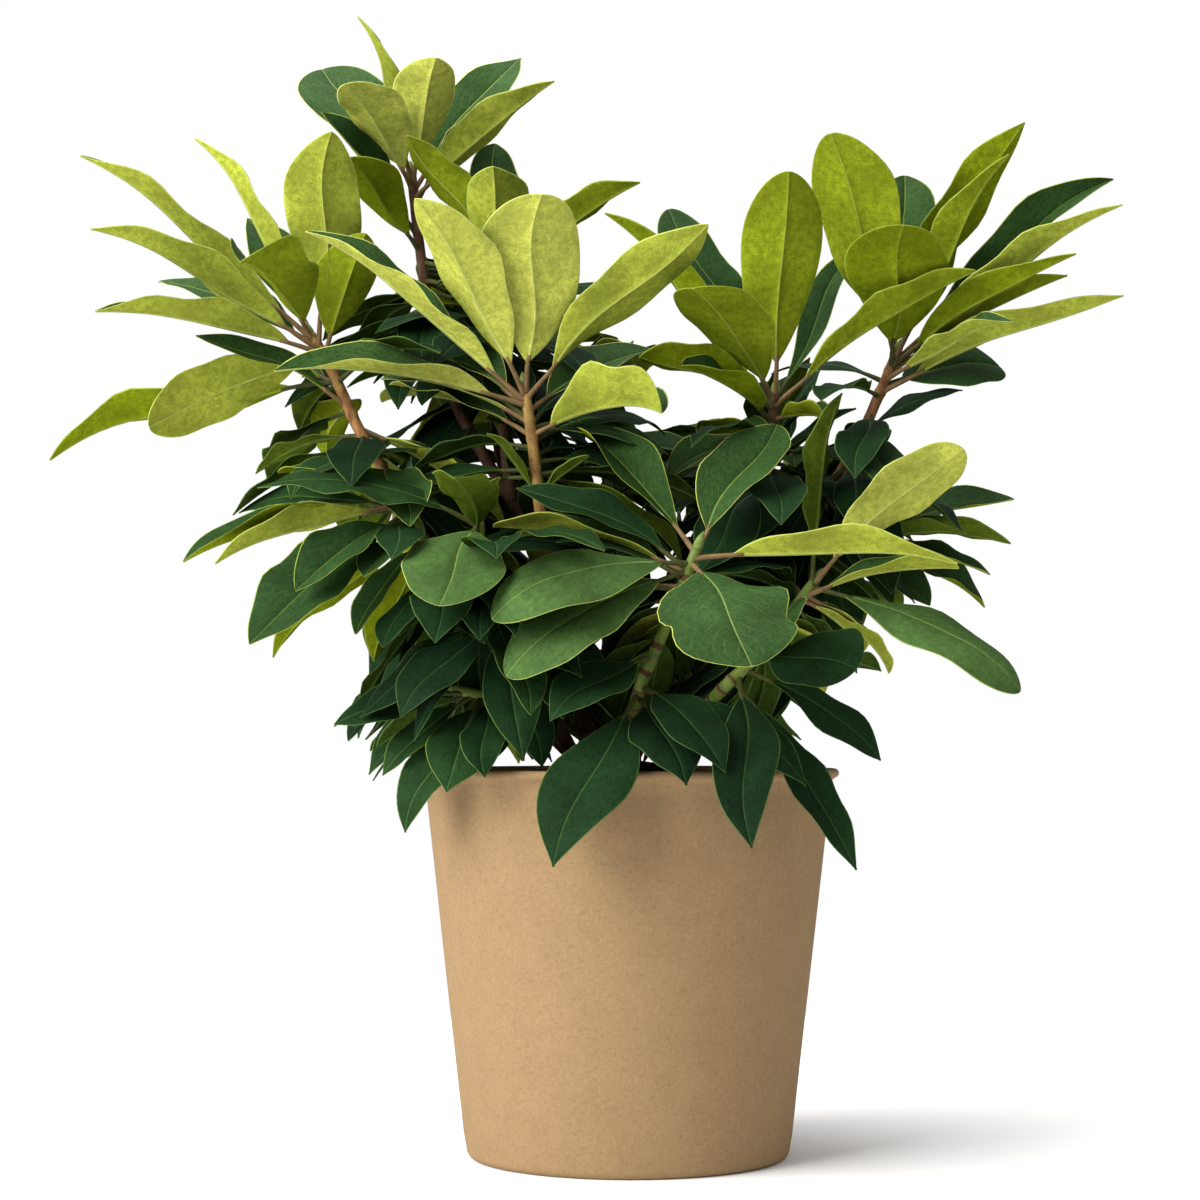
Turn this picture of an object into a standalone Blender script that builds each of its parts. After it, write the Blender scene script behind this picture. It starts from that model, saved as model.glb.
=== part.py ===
"""A young rhododendron in its fibre nursery pot: pot, compost, trunk, boughs and masses of foliage.

The origin is the middle of the pot's flat underside, +Z is up and the plant's front faces -Y.
Each mass of foliage is one body: shoots that branch from one stem, with a whorl of leaves on each.
"""

import math
import random

import bmesh
import bpy
from mathutils import Vector
from mathutils.bvhtree import BVHTree

MM = 0.001
SEED = 20
GAP = 0.3 * MM

# Pot: a tapered fibre pot with a rolled rim, in metres
POT_HEIGHT = 0.219
POT_RIM_RADIUS = 0.120
POT_TOP_RADIUS = 0.1165
POT_FOOT_RADIUS = 0.0915
POT_WALL = 0.0022
POT_FLOOR = 0.003
POT_FOOT_ROUND = 0.004
POT_BEAD = 0.0025
POT_STEPS = 40
SOIL_DEPTH_UNDER_RIM = 0.024
SOIL_TOP = POT_HEIGHT - SOIL_DEPTH_UNDER_RIM

# Trunk: short, flared at the compost, leaning a little to the left
TRUNK_FOOT = (0, 0, SOIL_TOP / MM + 0.3)
TRUNK_TIP = (-8, 4, 300)
TRUNK_RADII = ((0.0, 17.0), (0.06, 13.0), (0.16, 10.5), (0.5, 9.0), (1.0, 7.0))
TRUNK_SIDES = 4
BOUGH_ROOT_RADIUS = 5.0
BOUGH_TIP_RADIUS = 3.4
BOUGH_POINTS = 7
BOUGH_LEAVE = 0.33
BOUGH_ARRIVE = 0.36
BOUGH_SIDES = 1
SHOOT_ROOT_RADIUS = 3.0
SHOOT_TIP_RADIUS = 2.3
SHOOT_POINTS = 7
SHOOT_LEAD = 6.0
FORK_LEAD = 8.0

# Leaf: a petiole and a blade, as shares of the whole length
PETIOLE = 0.15
PETIOLE_RADIUS = 1.2 * MM
BLADE_SWELL = 0.9
BLADE_POINT = 0.75
LEAF_STATIONS = (0.0, PETIOLE, 0.40, 0.76)
LEAF_THICKNESS = 0.018
LEAF_LIFT = 0.10
LEAF_DROOP = 14
LEAF_DROOP_WHEN_FLAT = 34
LEAF_WIDTH_SHARE = 0.34
CLEAR_OVER_RIM = 2 * MM
CLEAR_OF_WALL = 3 * MM

# The rule's own leaves, from the shoot's tip down: their lengths, their rise, how far they stray
FILL_LENGTHS = (86, 122)
FILL_SHORTER = 0.25
FILL_RISE = (52, -76)
FILL_EARLY_FALL = 0.55
FILL_STRAY = 16
FILL_TURN_STRAY = 12
FILL_WIDTHS = (0.9, 1.15)
FILL_FACES = (-0.3, 0.6)
FILL_BACK_SPAN = 170
FILL_BEHIND = 0.5
BARE_IN_FRONT = 2.0
FILL_DOWN_THE_SHOOT = 0.8
FILL_CROWDING = 0.8
FILL_UNDER_SHOWS = 0.14
FILL_TRIES = 3
CLEARANCE = 0.7 * MM

# Swings, in degrees of clock and of lean, that a leaf may make to stay clear of its neighbours
NUDGES = ((0, 0), (0, 7), (0, -7), (4, 0), (-4, 0), (4, 8), (-4, 8), (4, -8), (-4, -8),
          (0, 14), (0, -14), (8, 0), (-8, 0), (8, 14), (-8, 14), (8, -14), (-8, -14))
GOLDEN_ANGLE = 137.5
CROWN_CENTRE = Vector((-22, 25, 375)) * MM
CROWN_REACH = Vector((228, 250, 150)) * MM
CROWN_DEPTH = 215 * MM

# Openings in the crown that the rule's leaves leave open, as the eye in front of it sees them in
# the plane y = 0: x, z and radius in mm
EYE = Vector((0, -1600, 242)) * MM
OPENINGS = ((107, 415, 9), (137, 448, 5), (164, 422, 8), (204, 415, 14), (61, 448, 5), (44, 457, 4),
            (54, 424, 8), (18, 494, 9), (7, 477, 7), (35, 491, 6), (-147, 410, 7), (-120, 418, 5),
            (-187, 365, 6), (-164, 345, 7), (-146, 338, 5), (-153, 314, 10), (-167, 292, 15),
            (-162, 264, 9), (-230, 402, 10), (110, 245, 13), (130, 234, 10), (138, 258, 9),
            (139, 299, 5), (158, 292, 5), (15, 334, 5), (224, 389, 9), (190, 292, 7),
            (-164, 218, 14), (-187, 235, 17), (158, 256, 14))

# Masses of foliage. bough: height in mm and compass angle in degrees where its bough leaves the
# trunk. stem: where the bough ends and the mass begins. whorls: each has the points its shoot
# passes, the last of them its tip, the leaves that show, and how many more the rule adds, and says
# bare_in_front where the rule's leaves keep to the shoot's back all the way down.
# A leaf that shows is (clock, lean, length, width, face, drop): its direction seen from the front
# (0 right, 90 up), its lean towards the viewer in degrees, its length and width in mm, how far its
# upper side turns to the viewer (+) or away (-), and how far down the shoot it sits in mm.
MASSES = {
    "foliage_upper_left": {
        "bough": (300, None), "stem": (-62, 18, 366),
        "whorls": (
            {"route": ((-100, 25, 430), (-117, 22, 492), (-126, 20, 563)), "fill": 10, "shows": (
                (108, 30, 102, 22, 0.35, 2), (126, -28, 114, 54, 0.9, 5), (126, 50, 90, 42, 0.0, 8),
                (74, 35, 85, 40, 0.0, 4), (56, -25, 120, 38, 0.9, 8), (37, 15, 107, 32, -0.5, 12),
                (56, 0, 69, 14, 0.4, 16), (129, 20, 90, 32, 0.5, 34), (131, 32, 77, 34, -0.4, 44))},
            {"route": ((-72, 12, 420), (-75, 12, 508)), "fill": 6, "shows": (
                (125, 14, 95, 32, -0.4, 2), (91, 40, 71, 40, 0.0, 4), (93, -30, 104, 32, 0.3, 6),
                (33, 15, 101, 30, -0.5, 8), (74, -5, 59, 26, -0.3, 10))},
            {"route": ((-78, 50, 420), (-80, 106, 474)), "fill": 8, "shows": ()},
        )},
    "foliage_left": {
        "bough": (250, 190), "stem": (-70, -14, 304),
        "whorls": (
            {"route": ((-124, -23, 368), (-152, -20, 410), (-168, -20, 445), (-180, -20, 465)),
             "fill": 9, "shows": (
                (142, 10, 166, 34, -0.45, 4), (154, 20, 143, 36, -0.4, 8), (173, 28, 134, 36, -0.4, 12),
                (155, -24, 122, 34, 0.6, 10), (121, -10, 146, 26, -0.3, 6), (84, 22, 123, 46, 0.0, 8),
                (120, -26, 112, 36, 0.4, 4), (135, 55, 80, 48, 0.0, 2), (69, 10, 74, 38, -0.3, 14),
                (203, 10, 107, 46, -0.9, 16), (194, -10, 177, 36, -0.6, 30),
                (164, 0, 94, 24, 0.7, 46))},
            {"route": ((-108, 14, 350), (-142, 42, 400)), "fill": 8, "shows": ()},
        )},
    "foliage_lower_left": {
        "bough": (234, 232), "stem": (-56, -42, 280),
        "whorls": (
            {"route": ((-98, -60, 326), (-129, -64, 368)), "fill": 7, "shows": (
                (195, 10, 122, 44, -0.5, 6), (200, 20, 108, 30, -0.6, 4), (224, 30, 123, 48, 0.9, 10),
                (218, 42, 93, 36, 0.6, 14), (223, -5, 107, 28, -0.9, 18), (179, -22, 103, 28, 0.7, 8),
                (230, 50, 67, 26, 0.0, 22), (237, 8, 65, 20, 0.6, 26), (246, -20, 77, 26, -0.8, 28))},
        )},
    "foliage_centre": {
        "bough": (250, 262), "stem": (-28, -40, 286),
        "whorls": (
            {"route": ((-45, -54, 338), (-52, -62, 395), (-57, -60, 429)),
             "fill": 9, "bare_in_front": True, "shows": (
                (84, 26, 113, 57, 0.0, 2), (116, 20, 129, 46, -0.2, 4), (42, 15, 139, 40, -0.6, 5),
                (143, 10, 152, 40, -0.25, 7), (174, 15, 141, 38, -0.25, 9), (7, 22, 78, 42, -0.3, 26),
                (150, -35, 112, 40, 0.5, 10), (30, -35, 100, 40, 0.5, 12), (130, 25, 47, 12, 0.0, 60),
                (41, 10, 37, 12, -0.3, 62))},
        )},
    "foliage_right_centre": {
        "bough": (268, 335), "stem": (46, -8, 308),
        "whorls": (
            {"route": ((76, -10, 366), (84, -10, 432)), "fill": 8, "shows": (
                (87, 15, 128, 48, 0.0, 2), (133, 50, 110, 52, 0.0, 4), (33, 10, 136, 34, -0.6, 6),
                (163, 22, 92, 32, -0.5, 8), (116, -20, 144, 36, 0.6, 6), (131, -4, 147, 28, -0.5, 8),
                (155, 32, 84, 34, 0.5, 16), (63, -20, 115, 22, 0.5, 8), (34, 0, 60, 12, 0.4, 42),
                (352, 35, 37, 22, 0.0, 14), (205, 30, 76, 32, 0.6, 24))},
            {"route": ((66, 24, 360), (86, 70, 410)), "fill": 8, "shows": ()},
        )},
    "foliage_right": {
        "bough": (250, 25), "stem": (84, 14, 330),
        "whorls": (
            {"route": ((122, 12, 388), (138, 10, 418), (155, 10, 458)), "fill": 9, "shows": (
                (108, 10, 134, 54, -0.2, 2), (84, -25, 131, 42, 0.5, 4), (61, 0, 158, 40, -0.5, 4),
                (61, 14, 135, 30, -0.4, 6), (40, -8, 175, 34, 0.7, 6), (38, 10, 159, 36, -0.5, 8),
                (30, 25, 126, 30, -0.5, 9), (29, 0, 122, 32, -0.5, 12), (21, 8, 148, 36, -0.6, 24),
                (21, 36, 88, 26, -0.2, 16), (11, -20, 77, 50, 0.9, 20), (89, 50, 96, 58, 0.0, 8),
                (23, 0, 63, 20, 0.6, 50))},
        )},
    "foliage_front": {
        "bough": (218, 273), "stem": (3, -74, 250),
        "whorls": (
            {"route": ((8, -92, 268), (22, -98, 300), (37, -100, 338)),
             "fill": 5, "bare_in_front": True, "shows": (
                (132, -30, 112, 38, 0.5, 2), (58, -35, 110, 44, 0.6, 3), (358, 10, 141, 38, -0.5, 5),
                (296, 55, 112, 70, 0.5, 8), (197, 20, 117, 46, 0.8, 8), (211, 16, 117, 46, 0.8, 12),
                (244, 26, 122, 57, 0.5, 84), (298, 48, 80, 44, 0.4, 88), (313, 46, 91, 42, 0.5, 80),
                (329, 20, 108, 42, 0.7, 82), (213, 30, 75, 40, 0.8, 62))},
        )},
    "foliage_lower_right": {
        "bough": (218, 334), "stem": (42, -72, 252),
        "whorls": (
            {"route": ((54, -88, 266), (72, -82, 284), (104, -52, 324)),
             "fill": 6, "bare_in_front": True, "shows": (
                (42, 15, 111, 46, -0.5, 3), (332, 16, 130, 38, 0.7, 6), (319, -30, 76, 22, 0.4, 12),
                (325, -48, 61, 24, 0.6, 16), (236, 45, 62, 46, -0.5, 10), (80, -10, 113, 24, -0.3, 6),
                (272, 36, 124, 42, 0.5, 78), (302, 15, 124, 27, 0.6, 82), (326, 0, 89, 30, 0.7, 74),
                (351, 34, 63, 54, 0.9, 64))},
        )},
    "foliage_low_right": {
        "bough": (234, 358), "stem": (70, 18, 284),
        "whorls": (
            {"route": ((112, 32, 322), (133, 40, 352)), "fill": 7, "shows": (
                (16, -10, 103, 36, 0.6, 3), (348, 10, 83, 28, 0.5, 5), (336, -10, 89, 34, 0.7, 4),
                (0, 25, 98, 26, -0.5, 6), (6, 40, 83, 20, -0.4, 8), (327, 30, 64, 32, 0.6, 12))},
        )},
    "foliage_low_left": {
        "bough": (218, 211), "stem": (-48, -60, 258),
        "whorls": (
            {"route": ((-64, -74, 280), (-78, -80, 318), (-81, -80, 356)), "fill": 3, "shows": (
                (251, 54, 88, 56, 0.6, 2), (64, 0, 26, 12, -0.3, 1), (171, 12, 122, 36, 0.6, 4),
                (283, 25, 89, 38, 0.5, 54), (227, 30, 82, 40, 0.6, 58), (212, 0, 72, 28, 0.6, 60),
                (20, 40, 84, 38, 0.6, 50), (330, 45, 76, 36, 0.6, 62))},
            {"route": ((-68, -68, 258), (-90, -66, 262)), "fill": 0, "shows": (
                (194, 10, 75, 30, 0.8, 2), (209, -20, 65, 20, -0.6, 4), (222, 5, 67, 24, 0.7, 6),
                (243, 5, 86, 30, 0.7, 8), (253, 42, 73, 38, 0.5, 10), (282, 40, 74, 26, 0.6, 12))},
        )},
    "foliage_side_left": {
        "bough": (218, 160), "stem": (-62, 14, 252),
        "whorls": (
            {"route": ((-84, 16, 264), (-104, 18, 284)), "fill": 9, "shows": ()},
        )},
    "foliage_side_right": {
        "bough": (218, 28), "stem": (60, 22, 250),
        "whorls": (
            {"route": ((74, 26, 260), (92, 30, 276)), "fill": 9, "shows": ()},
        )},
    "foliage_back_left": {
        "bough": (234, 140), "stem": (-54, 50, 286),
        "whorls": (
            {"route": ((-110, 84, 342), (-150, 120, 388)), "fill": 10, "shows": ()},
            {"route": ((-100, 90, 304), (-132, 142, 312)), "fill": 9, "shows": ()},
        )},
    "foliage_back_centre": {
        "bough": (250, 96), "stem": (-8, 58, 306),
        "whorls": (
            {"route": ((-12, 98, 380), (-14, 150, 440)), "fill": 11, "shows": ()},
            {"route": ((10, 98, 346), (34, 166, 368)), "fill": 9, "shows": ()},
        )},
    "foliage_back_right": {
        "bough": (234, 62), "stem": (44, 50, 284),
        "whorls": (
            {"route": ((80, 84, 350), (100, 130, 410)), "fill": 10, "shows": ()},
            {"route": ((92, 84, 308), (128, 138, 326)), "fill": 9, "shows": ()},
        )},
    "foliage_back_low": {
        "bough": (218, 92), "stem": (0, 82, 254),
        "whorls": (
            {"route": ((-22, 98, 268), (-46, 136, 274)), "fill": 8, "shows": ()},
            {"route": ((24, 98, 270), (54, 136, 278)), "fill": 8, "shows": ()},
        )},
}


def clear_scene():
    """Removes whatever the scene holds."""
    for obj in list(bpy.data.objects):
        bpy.data.objects.remove(obj, do_unlink=True)


def new_collection(name):
    """A collection of the scene."""
    collection = bpy.data.collections.new(name)
    bpy.context.scene.collection.children.link(collection)
    return collection


def material(name, colour, roughness):
    """A plain finish for one kind of sub-part."""
    made = bpy.data.materials.new(name)
    made.use_nodes = True
    shader = made.node_tree.nodes["Principled BSDF"]
    shader.inputs["Base Color"].default_value = (*colour, 1.0)
    shader.inputs["Roughness"].default_value = roughness
    made.diffuse_color = (*colour, 1.0)
    return made


def add_object(name, mesh, collection, finish):
    """An object of this mesh, in its collection."""
    obj = bpy.data.objects.new(name, mesh)
    mesh.materials.append(finish)
    collection.objects.link(obj)
    return obj


def turned(name, profile, collection, finish):
    """A body turned about Z from a profile at +X that runs from the axis to the axis."""
    mesh = bpy.data.meshes.new(name)
    edges = [(i, i + 1) for i in range(len(profile) - 1)]
    mesh.from_pydata([(x, 0.0, z) for x, z in profile], edges, [])
    obj = add_object(name, mesh, collection, finish)
    screw = obj.modifiers.new("turn", "SCREW")
    screw.steps = POT_STEPS
    screw.render_steps = POT_STEPS
    screw.use_merge_vertices = True
    screw.merge_threshold = 0.00005
    screw.use_smooth_shade = True
    return obj


def wall_radius(z, inset):
    """Radius of the pot's straight side at height z, less an inset."""
    return POT_FOOT_RADIUS + (POT_TOP_RADIUS - POT_FOOT_RADIUS) * z / POT_HEIGHT - inset


def pot_profile():
    """The pot's section: floor, inner wall, rolled rim, outer wall, rounded foot, flat underside."""
    points = [(0.0, POT_FLOOR), (wall_radius(POT_FLOOR, POT_WALL), POT_FLOOR)]
    points.append((wall_radius(POT_HEIGHT - POT_BEAD, POT_WALL), POT_HEIGHT - POT_BEAD))
    bead_x = POT_RIM_RADIUS - POT_BEAD
    bead_z = POT_HEIGHT - POT_BEAD
    for step in range(5):
        turn = math.radians(120 - 55 * step)
        points.append((bead_x + POT_BEAD * math.cos(turn), bead_z + POT_BEAD * math.sin(turn)))
    points.append((wall_radius(POT_HEIGHT - 2.2 * POT_BEAD, 0), POT_HEIGHT - 2.2 * POT_BEAD))
    for step in range(4):
        turn = math.radians(-30 * step)
        x = POT_FOOT_RADIUS - POT_FOOT_ROUND * (1 - math.cos(turn))
        points.append((x, POT_FOOT_ROUND * (1 + math.sin(turn))))
    points.append((0.0, 0.0))
    return points


def soil_profile():
    """The compost's section, clear of the pot by the gap."""
    inset = POT_WALL + GAP
    floor = POT_FLOOR + GAP
    return [(0.0, SOIL_TOP), (wall_radius(SOIL_TOP, inset), SOIL_TOP), (wall_radius(floor, inset), floor),
            (0.0, floor)]


def smooth_path(points, count):
    """Points evenly along a smooth curve through the given ones."""
    ends = [points[0] * 2 - points[1], *points, points[-1] * 2 - points[-2]]
    spans = len(points) - 1
    path = []
    for step in range(count):
        place = spans * step / (count - 1)
        span = min(int(place), spans - 1)
        t = place - span
        a, b, c, d = ends[span:span + 4]
        path.append(0.5 * ((2 * b) + (c - a) * t + (2 * a - 5 * b + 4 * c - d) * t * t
                           + (3 * b - a - 3 * c + d) * t ** 3))
    return path


def limb(name, path, radii, sides, collection, finish):
    """A tapering round limb along a path, with flat ends, as a closed mesh."""
    curve = bpy.data.curves.new(name, "CURVE")
    curve.dimensions = "3D"
    curve.bevel_depth = 1.0
    curve.bevel_resolution = sides
    curve.use_fill_caps = True
    spline = curve.splines.new("POLY")
    spline.points.add(len(path) - 1)
    for point, place, radius in zip(spline.points, path, radii):
        point.co = (*place, 1.0)
        point.radius = radius
    drawn = bpy.data.objects.new(name + "_curve", curve)
    bpy.context.scene.collection.objects.link(drawn)
    graph = bpy.context.evaluated_depsgraph_get()
    mesh = bpy.data.meshes.new_from_object(drawn.evaluated_get(graph))
    bpy.data.objects.remove(drawn, do_unlink=True)
    close_up(mesh)
    mesh.name = name
    mesh.materials.clear()
    return add_object(name, mesh, collection, finish)


def close_up(mesh):
    """Welds a mesh's loose caps and turns its faces outwards."""
    shape = bmesh.new()
    shape.from_mesh(mesh)
    bmesh.ops.remove_doubles(shape, verts=shape.verts, dist=0.00001)
    bmesh.ops.recalc_face_normals(shape, faces=shape.faces)
    shape.to_mesh(mesh)
    shape.free()


def mixed(pairs, t):
    """The value at t on a line of (place, value) pairs."""
    for (t0, v0), (t1, v1) in zip(pairs, pairs[1:]):
        if t <= t1:
            return v0 + (v1 - v0) * (t - t0) / (t1 - t0)
    return pairs[-1][1]


def trunk_line():
    """Foot and tip of the trunk, in metres."""
    return Vector(TRUNK_FOOT) * MM, Vector(TRUNK_TIP) * MM


def trunk_radius(height):
    """The trunk's radius at a height."""
    foot, tip = trunk_line()
    return mixed(TRUNK_RADII, (height - foot.z) / (tip.z - foot.z)) * MM


def add_trunk(collection, finish):
    """The trunk, from its flat cut on the compost to its tip."""
    foot, tip = trunk_line()
    shares = [share for share, _ in TRUNK_RADII] + [0.75]
    shares.sort()
    path = [foot.lerp(tip, share) for share in shares]
    path[1] = foot + Vector((0, 0, path[1].z - foot.z))
    radii = [mixed(TRUNK_RADII, share) * MM for share in shares]
    return limb("trunk", path, radii, TRUNK_SIDES, collection, finish)


def bough_path(mass):
    """The route of a mass's bough, from the trunk's side or tip to the mass's stem."""
    height, compass = mass["bough"]
    stem = Vector(mass["stem"]) * MM
    ahead = Vector(mass["whorls"][0]["route"][0]) * MM
    foot, tip = trunk_line()
    if compass is None:
        out = (tip - foot).normalized()
        start = tip + out * GAP
    else:
        turn = math.radians(compass)
        out = Vector((math.cos(turn), math.sin(turn), 0.0))
        axis = foot.lerp(tip, (height * MM - foot.z) / (tip.z - foot.z))
        start = axis + out * (trunk_radius((height - BOUGH_ROOT_RADIUS) * MM) + 2 * GAP)
    reach = (stem - start).length
    leave = start + out * reach * BOUGH_LEAVE
    arrive = stem - (ahead - stem).normalized() * reach * BOUGH_ARRIVE
    path = []
    for step in range(BOUGH_POINTS):
        t = step / (BOUGH_POINTS - 1)
        s = 1 - t
        path.append(start * s ** 3 + leave * 3 * s * s * t + arrive * 3 * s * t * t + stem * t ** 3)
    path[1] = start + out * (path[1] - start).length
    return path


def add_boughs(collection, finish):
    """One tapering bough for each mass."""
    made = []
    for name, mass in MASSES.items():
        path = bough_path(mass)
        last = len(path) - 1
        radii = [(BOUGH_ROOT_RADIUS + (BOUGH_TIP_RADIUS - BOUGH_ROOT_RADIUS) * i / last) * MM
                 for i in range(len(path))]
        made.append(limb(name.replace("foliage", "bough"), path, radii, BOUGH_SIDES, collection, finish))
    return made


def shoot_paths(mass):
    """The routes of a mass's shoots: the first grows from the bough's tip, the others from it."""
    end = bough_path(mass)
    heading = (end[-1] - end[-2]).normalized()
    start = end[-1] + heading * GAP
    paths = []
    for number, whorl in enumerate(mass["whorls"]):
        points = [Vector(point) * MM for point in whorl["route"]]
        if number == 0:
            lead = start + heading * SHOOT_LEAD * MM
            route = [lead, *points]
            path = [start, *smooth_path(route, SHOOT_POINTS)]
        else:
            path = smooth_path([start + heading * FORK_LEAD * MM, *points], SHOOT_POINTS)
        paths.append(path)
    return paths


def down_the_shoot(path, drop):
    """The point that lies a distance down a shoot from its tip."""
    for end, begin in zip(reversed(path), reversed(path[:-1])):
        length = (end - begin).length
        if drop <= length:
            return end.lerp(begin, drop / length)
        drop -= length
    return path[1].copy()


def leaf_frame(base, clock, lean, length, face):
    """A leaf's base, chord, upper side and droop."""
    turn = math.radians(clock)
    tilt = math.radians(lean)
    chord = Vector((math.cos(turn) * math.cos(tilt), -math.sin(tilt), math.sin(turn) * math.cos(tilt)))
    upper = Vector((0.0, -face, 1.0))
    upper -= chord * upper.dot(chord)
    upper.normalize()
    droop = math.radians(LEAF_DROOP + LEAF_DROOP_WHEN_FLAT * (1 - abs(chord.z)))
    return {"base": base, "chord": chord * length, "upper": upper, "sag": length * droop / 8,
            "length": length}


def leaf_point(frame, t):
    """The middle line of a leaf at t, its direction there and its upper side there."""
    bow = 4 * frame["sag"]
    place = frame["base"] + frame["chord"] * t + frame["upper"] * bow * t * (1 - t)
    along = (frame["chord"] + frame["upper"] * bow * (1 - 2 * t)).normalized()
    side = along.cross(frame["upper"]).normalized()
    return place, side, side.cross(along).normalized()


def blade_share(t):
    """A leaf's half width at t, as a share of its greatest."""
    if t <= PETIOLE or t >= 1.0:
        return 0.0
    u = (t - PETIOLE) / (1 - PETIOLE)
    peak = BLADE_SWELL / (BLADE_SWELL + BLADE_POINT)
    most = peak ** BLADE_SWELL * (1 - peak) ** BLADE_POINT
    return u ** BLADE_SWELL * (1 - u) ** BLADE_POINT / most


def leaf_shape(frame, width, stations, swell):
    """Points and faces of a leaf: three-cornered sections along its middle line, and a tip."""
    points = []
    for t in stations:
        place, side, upper = leaf_point(frame, t)
        half = max(blade_share(t) * width / 2, PETIOLE_RADIUS) + swell
        lift = upper * half * LEAF_LIFT
        keel = upper * (max(frame["length"] * LEAF_THICKNESS, PETIOLE_RADIUS) + swell)
        points += [place - side * half + lift, place + side * half + lift, place - keel]
    points.append(leaf_point(frame, 1.0)[0] + frame["chord"].normalized() * swell)
    faces = [(0, 1, 2)]
    for row in range(len(stations) - 1):
        for corner in range(3):
            a = row * 3 + corner
            b = row * 3 + (corner + 1) % 3
            faces += [(a, a + 3, b + 3), (a, b + 3, b)]
    tip = len(points) - 1
    last = tip - 3
    faces += [(last + corner, tip, last + (corner + 1) % 3) for corner in range(3)]
    return points, faces


def clears_pot(frame, width):
    """Whether a leaf stays out of the pot, and off its rim."""
    top = POT_HEIGHT + CLEAR_OVER_RIM
    for step in range(2, 11):
        t = step / 10
        place, side, _ = leaf_point(frame, t)
        half = blade_share(t) * width / 2
        for point in (place, place - side * half, place + side * half):
            if point.z < top and math.hypot(point.x, point.y) < POT_RIM_RADIUS + CLEAR_OF_WALL:
                return False
    return True


class Space:
    """What stands in the crown so far: for each piece its mass, its box and its surfaces."""

    def __init__(self):
        self.pieces = []

    def add(self, owner, points, faces, blade):
        low = Vector([min(p[i] for p in points) for i in range(3)])
        high = Vector([max(p[i] for p in points) for i in range(3)])
        whole = BVHTree.FromPolygons(points, faces)
        self.pieces.append((owner, low, high, whole, blade))

    def is_free(self, owner, points, faces, blade):
        low = Vector([min(p[i] for p in points) for i in range(3)])
        high = Vector([max(p[i] for p in points) for i in range(3)])
        tree = BVHTree.FromPolygons(points, faces)
        for other, other_low, other_high, other_tree, other_blade in self.pieces:
            if any(low[i] > other_high[i] or high[i] < other_low[i] for i in range(3)):
                continue
            if other != owner and tree.overlap(other_tree):
                return False
            if other == owner and other_blade and blade.overlap(other_blade):
                return False
        return True


def try_leaf(space, owner, path, leaf, width_gap):
    """The leaf's frame if it finds room, swung a little where it must, or None."""
    clock, lean, length, width, face, drop = leaf
    base = down_the_shoot(path, drop * MM)
    for clock_swing, lean_swing in NUDGES:
        frame = leaf_frame(base, clock + clock_swing, lean + lean_swing, length * MM, face)
        frame["width"] = width * MM
        if not clears_pot(frame, frame["width"]):
            continue
        test_points, test_faces = leaf_shape(frame, frame["width"], LEAF_STATIONS, width_gap)
        blade_points, blade_faces = leaf_shape(frame, frame["width"], LEAF_STATIONS[2:], width_gap)
        blade = BVHTree.FromPolygons(blade_points, blade_faces)
        if space.is_free(owner, test_points, test_faces, blade):
            points, faces = leaf_shape(frame, frame["width"], LEAF_STATIONS, 0.0)
            space.add(owner, points, faces, blade)
            return frame
    return None


def shoot_length(path):
    """How long a shoot is, in mm."""
    return sum((b - a).length for a, b in zip(path, path[1:])) / MM


def fill_leaf(share, number, behind_until, length_of_shoot, chance):
    """One leaf of the rule: round the shoot by the golden angle, and lower and lower down it."""
    compass = GOLDEN_ANGLE * number + chance.uniform(-FILL_TURN_STRAY, FILL_TURN_STRAY)
    if share < behind_until:
        compass = 90 + (compass % FILL_BACK_SPAN - FILL_BACK_SPAN / 2)
    high, low = FILL_RISE
    rise = high + (low - high) * share ** FILL_EARLY_FALL
    rise = math.radians(rise + chance.uniform(-FILL_STRAY, FILL_STRAY))
    compass = math.radians(compass)
    x = math.cos(compass) * math.cos(rise)
    y = math.sin(compass) * math.cos(rise)
    clock = math.degrees(math.atan2(math.sin(rise), x))
    lean = math.degrees(math.asin(-y))
    length = chance.uniform(*FILL_LENGTHS) * (1 - FILL_SHORTER * share)
    width = length * LEAF_WIDTH_SHARE * chance.uniform(*FILL_WIDTHS)
    drop = 2 + share * FILL_DOWN_THE_SHOOT * length_of_shoot
    return clock, lean, length, width, chance.uniform(*FILL_FACES), drop


def in_crown(frame):
    """Whether a leaf of the rule ends inside the crown."""
    tip = leaf_point(frame, 1.0)[0] - CROWN_CENTRE
    reach = CROWN_REACH.copy()
    if tip.z < 0:
        reach.z = CROWN_DEPTH
    return sum((tip[i] / reach[i]) ** 2 for i in range(3)) <= 1.0


def keeps_open(frame, width):
    """Whether a leaf of the rule leaves the crown's openings open, seen from the front."""
    for step in range(3, 11):
        t = step / 10
        place, side, _ = leaf_point(frame, t)
        half = blade_share(t) * width / 2
        for point in (place, place - side * half, place + side * half):
            nearer = EYE.y / (EYE.y - point.y)
            x = EYE.x + (point.x - EYE.x) * nearer
            z = EYE.z + (point.z - EYE.z) * nearer
            for middle_x, middle_z, radius in OPENINGS:
                if math.hypot(x - middle_x * MM, z - middle_z * MM) < radius * MM:
                    return False
    return True


def leaves_behind(whorl):
    """How far down a shoot the rule's leaves keep to its back, as a share of the shoot."""
    if whorl.get("bare_in_front"):
        return BARE_IN_FRONT
    return FILL_BEHIND if whorl["shows"] else 0.0


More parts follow.
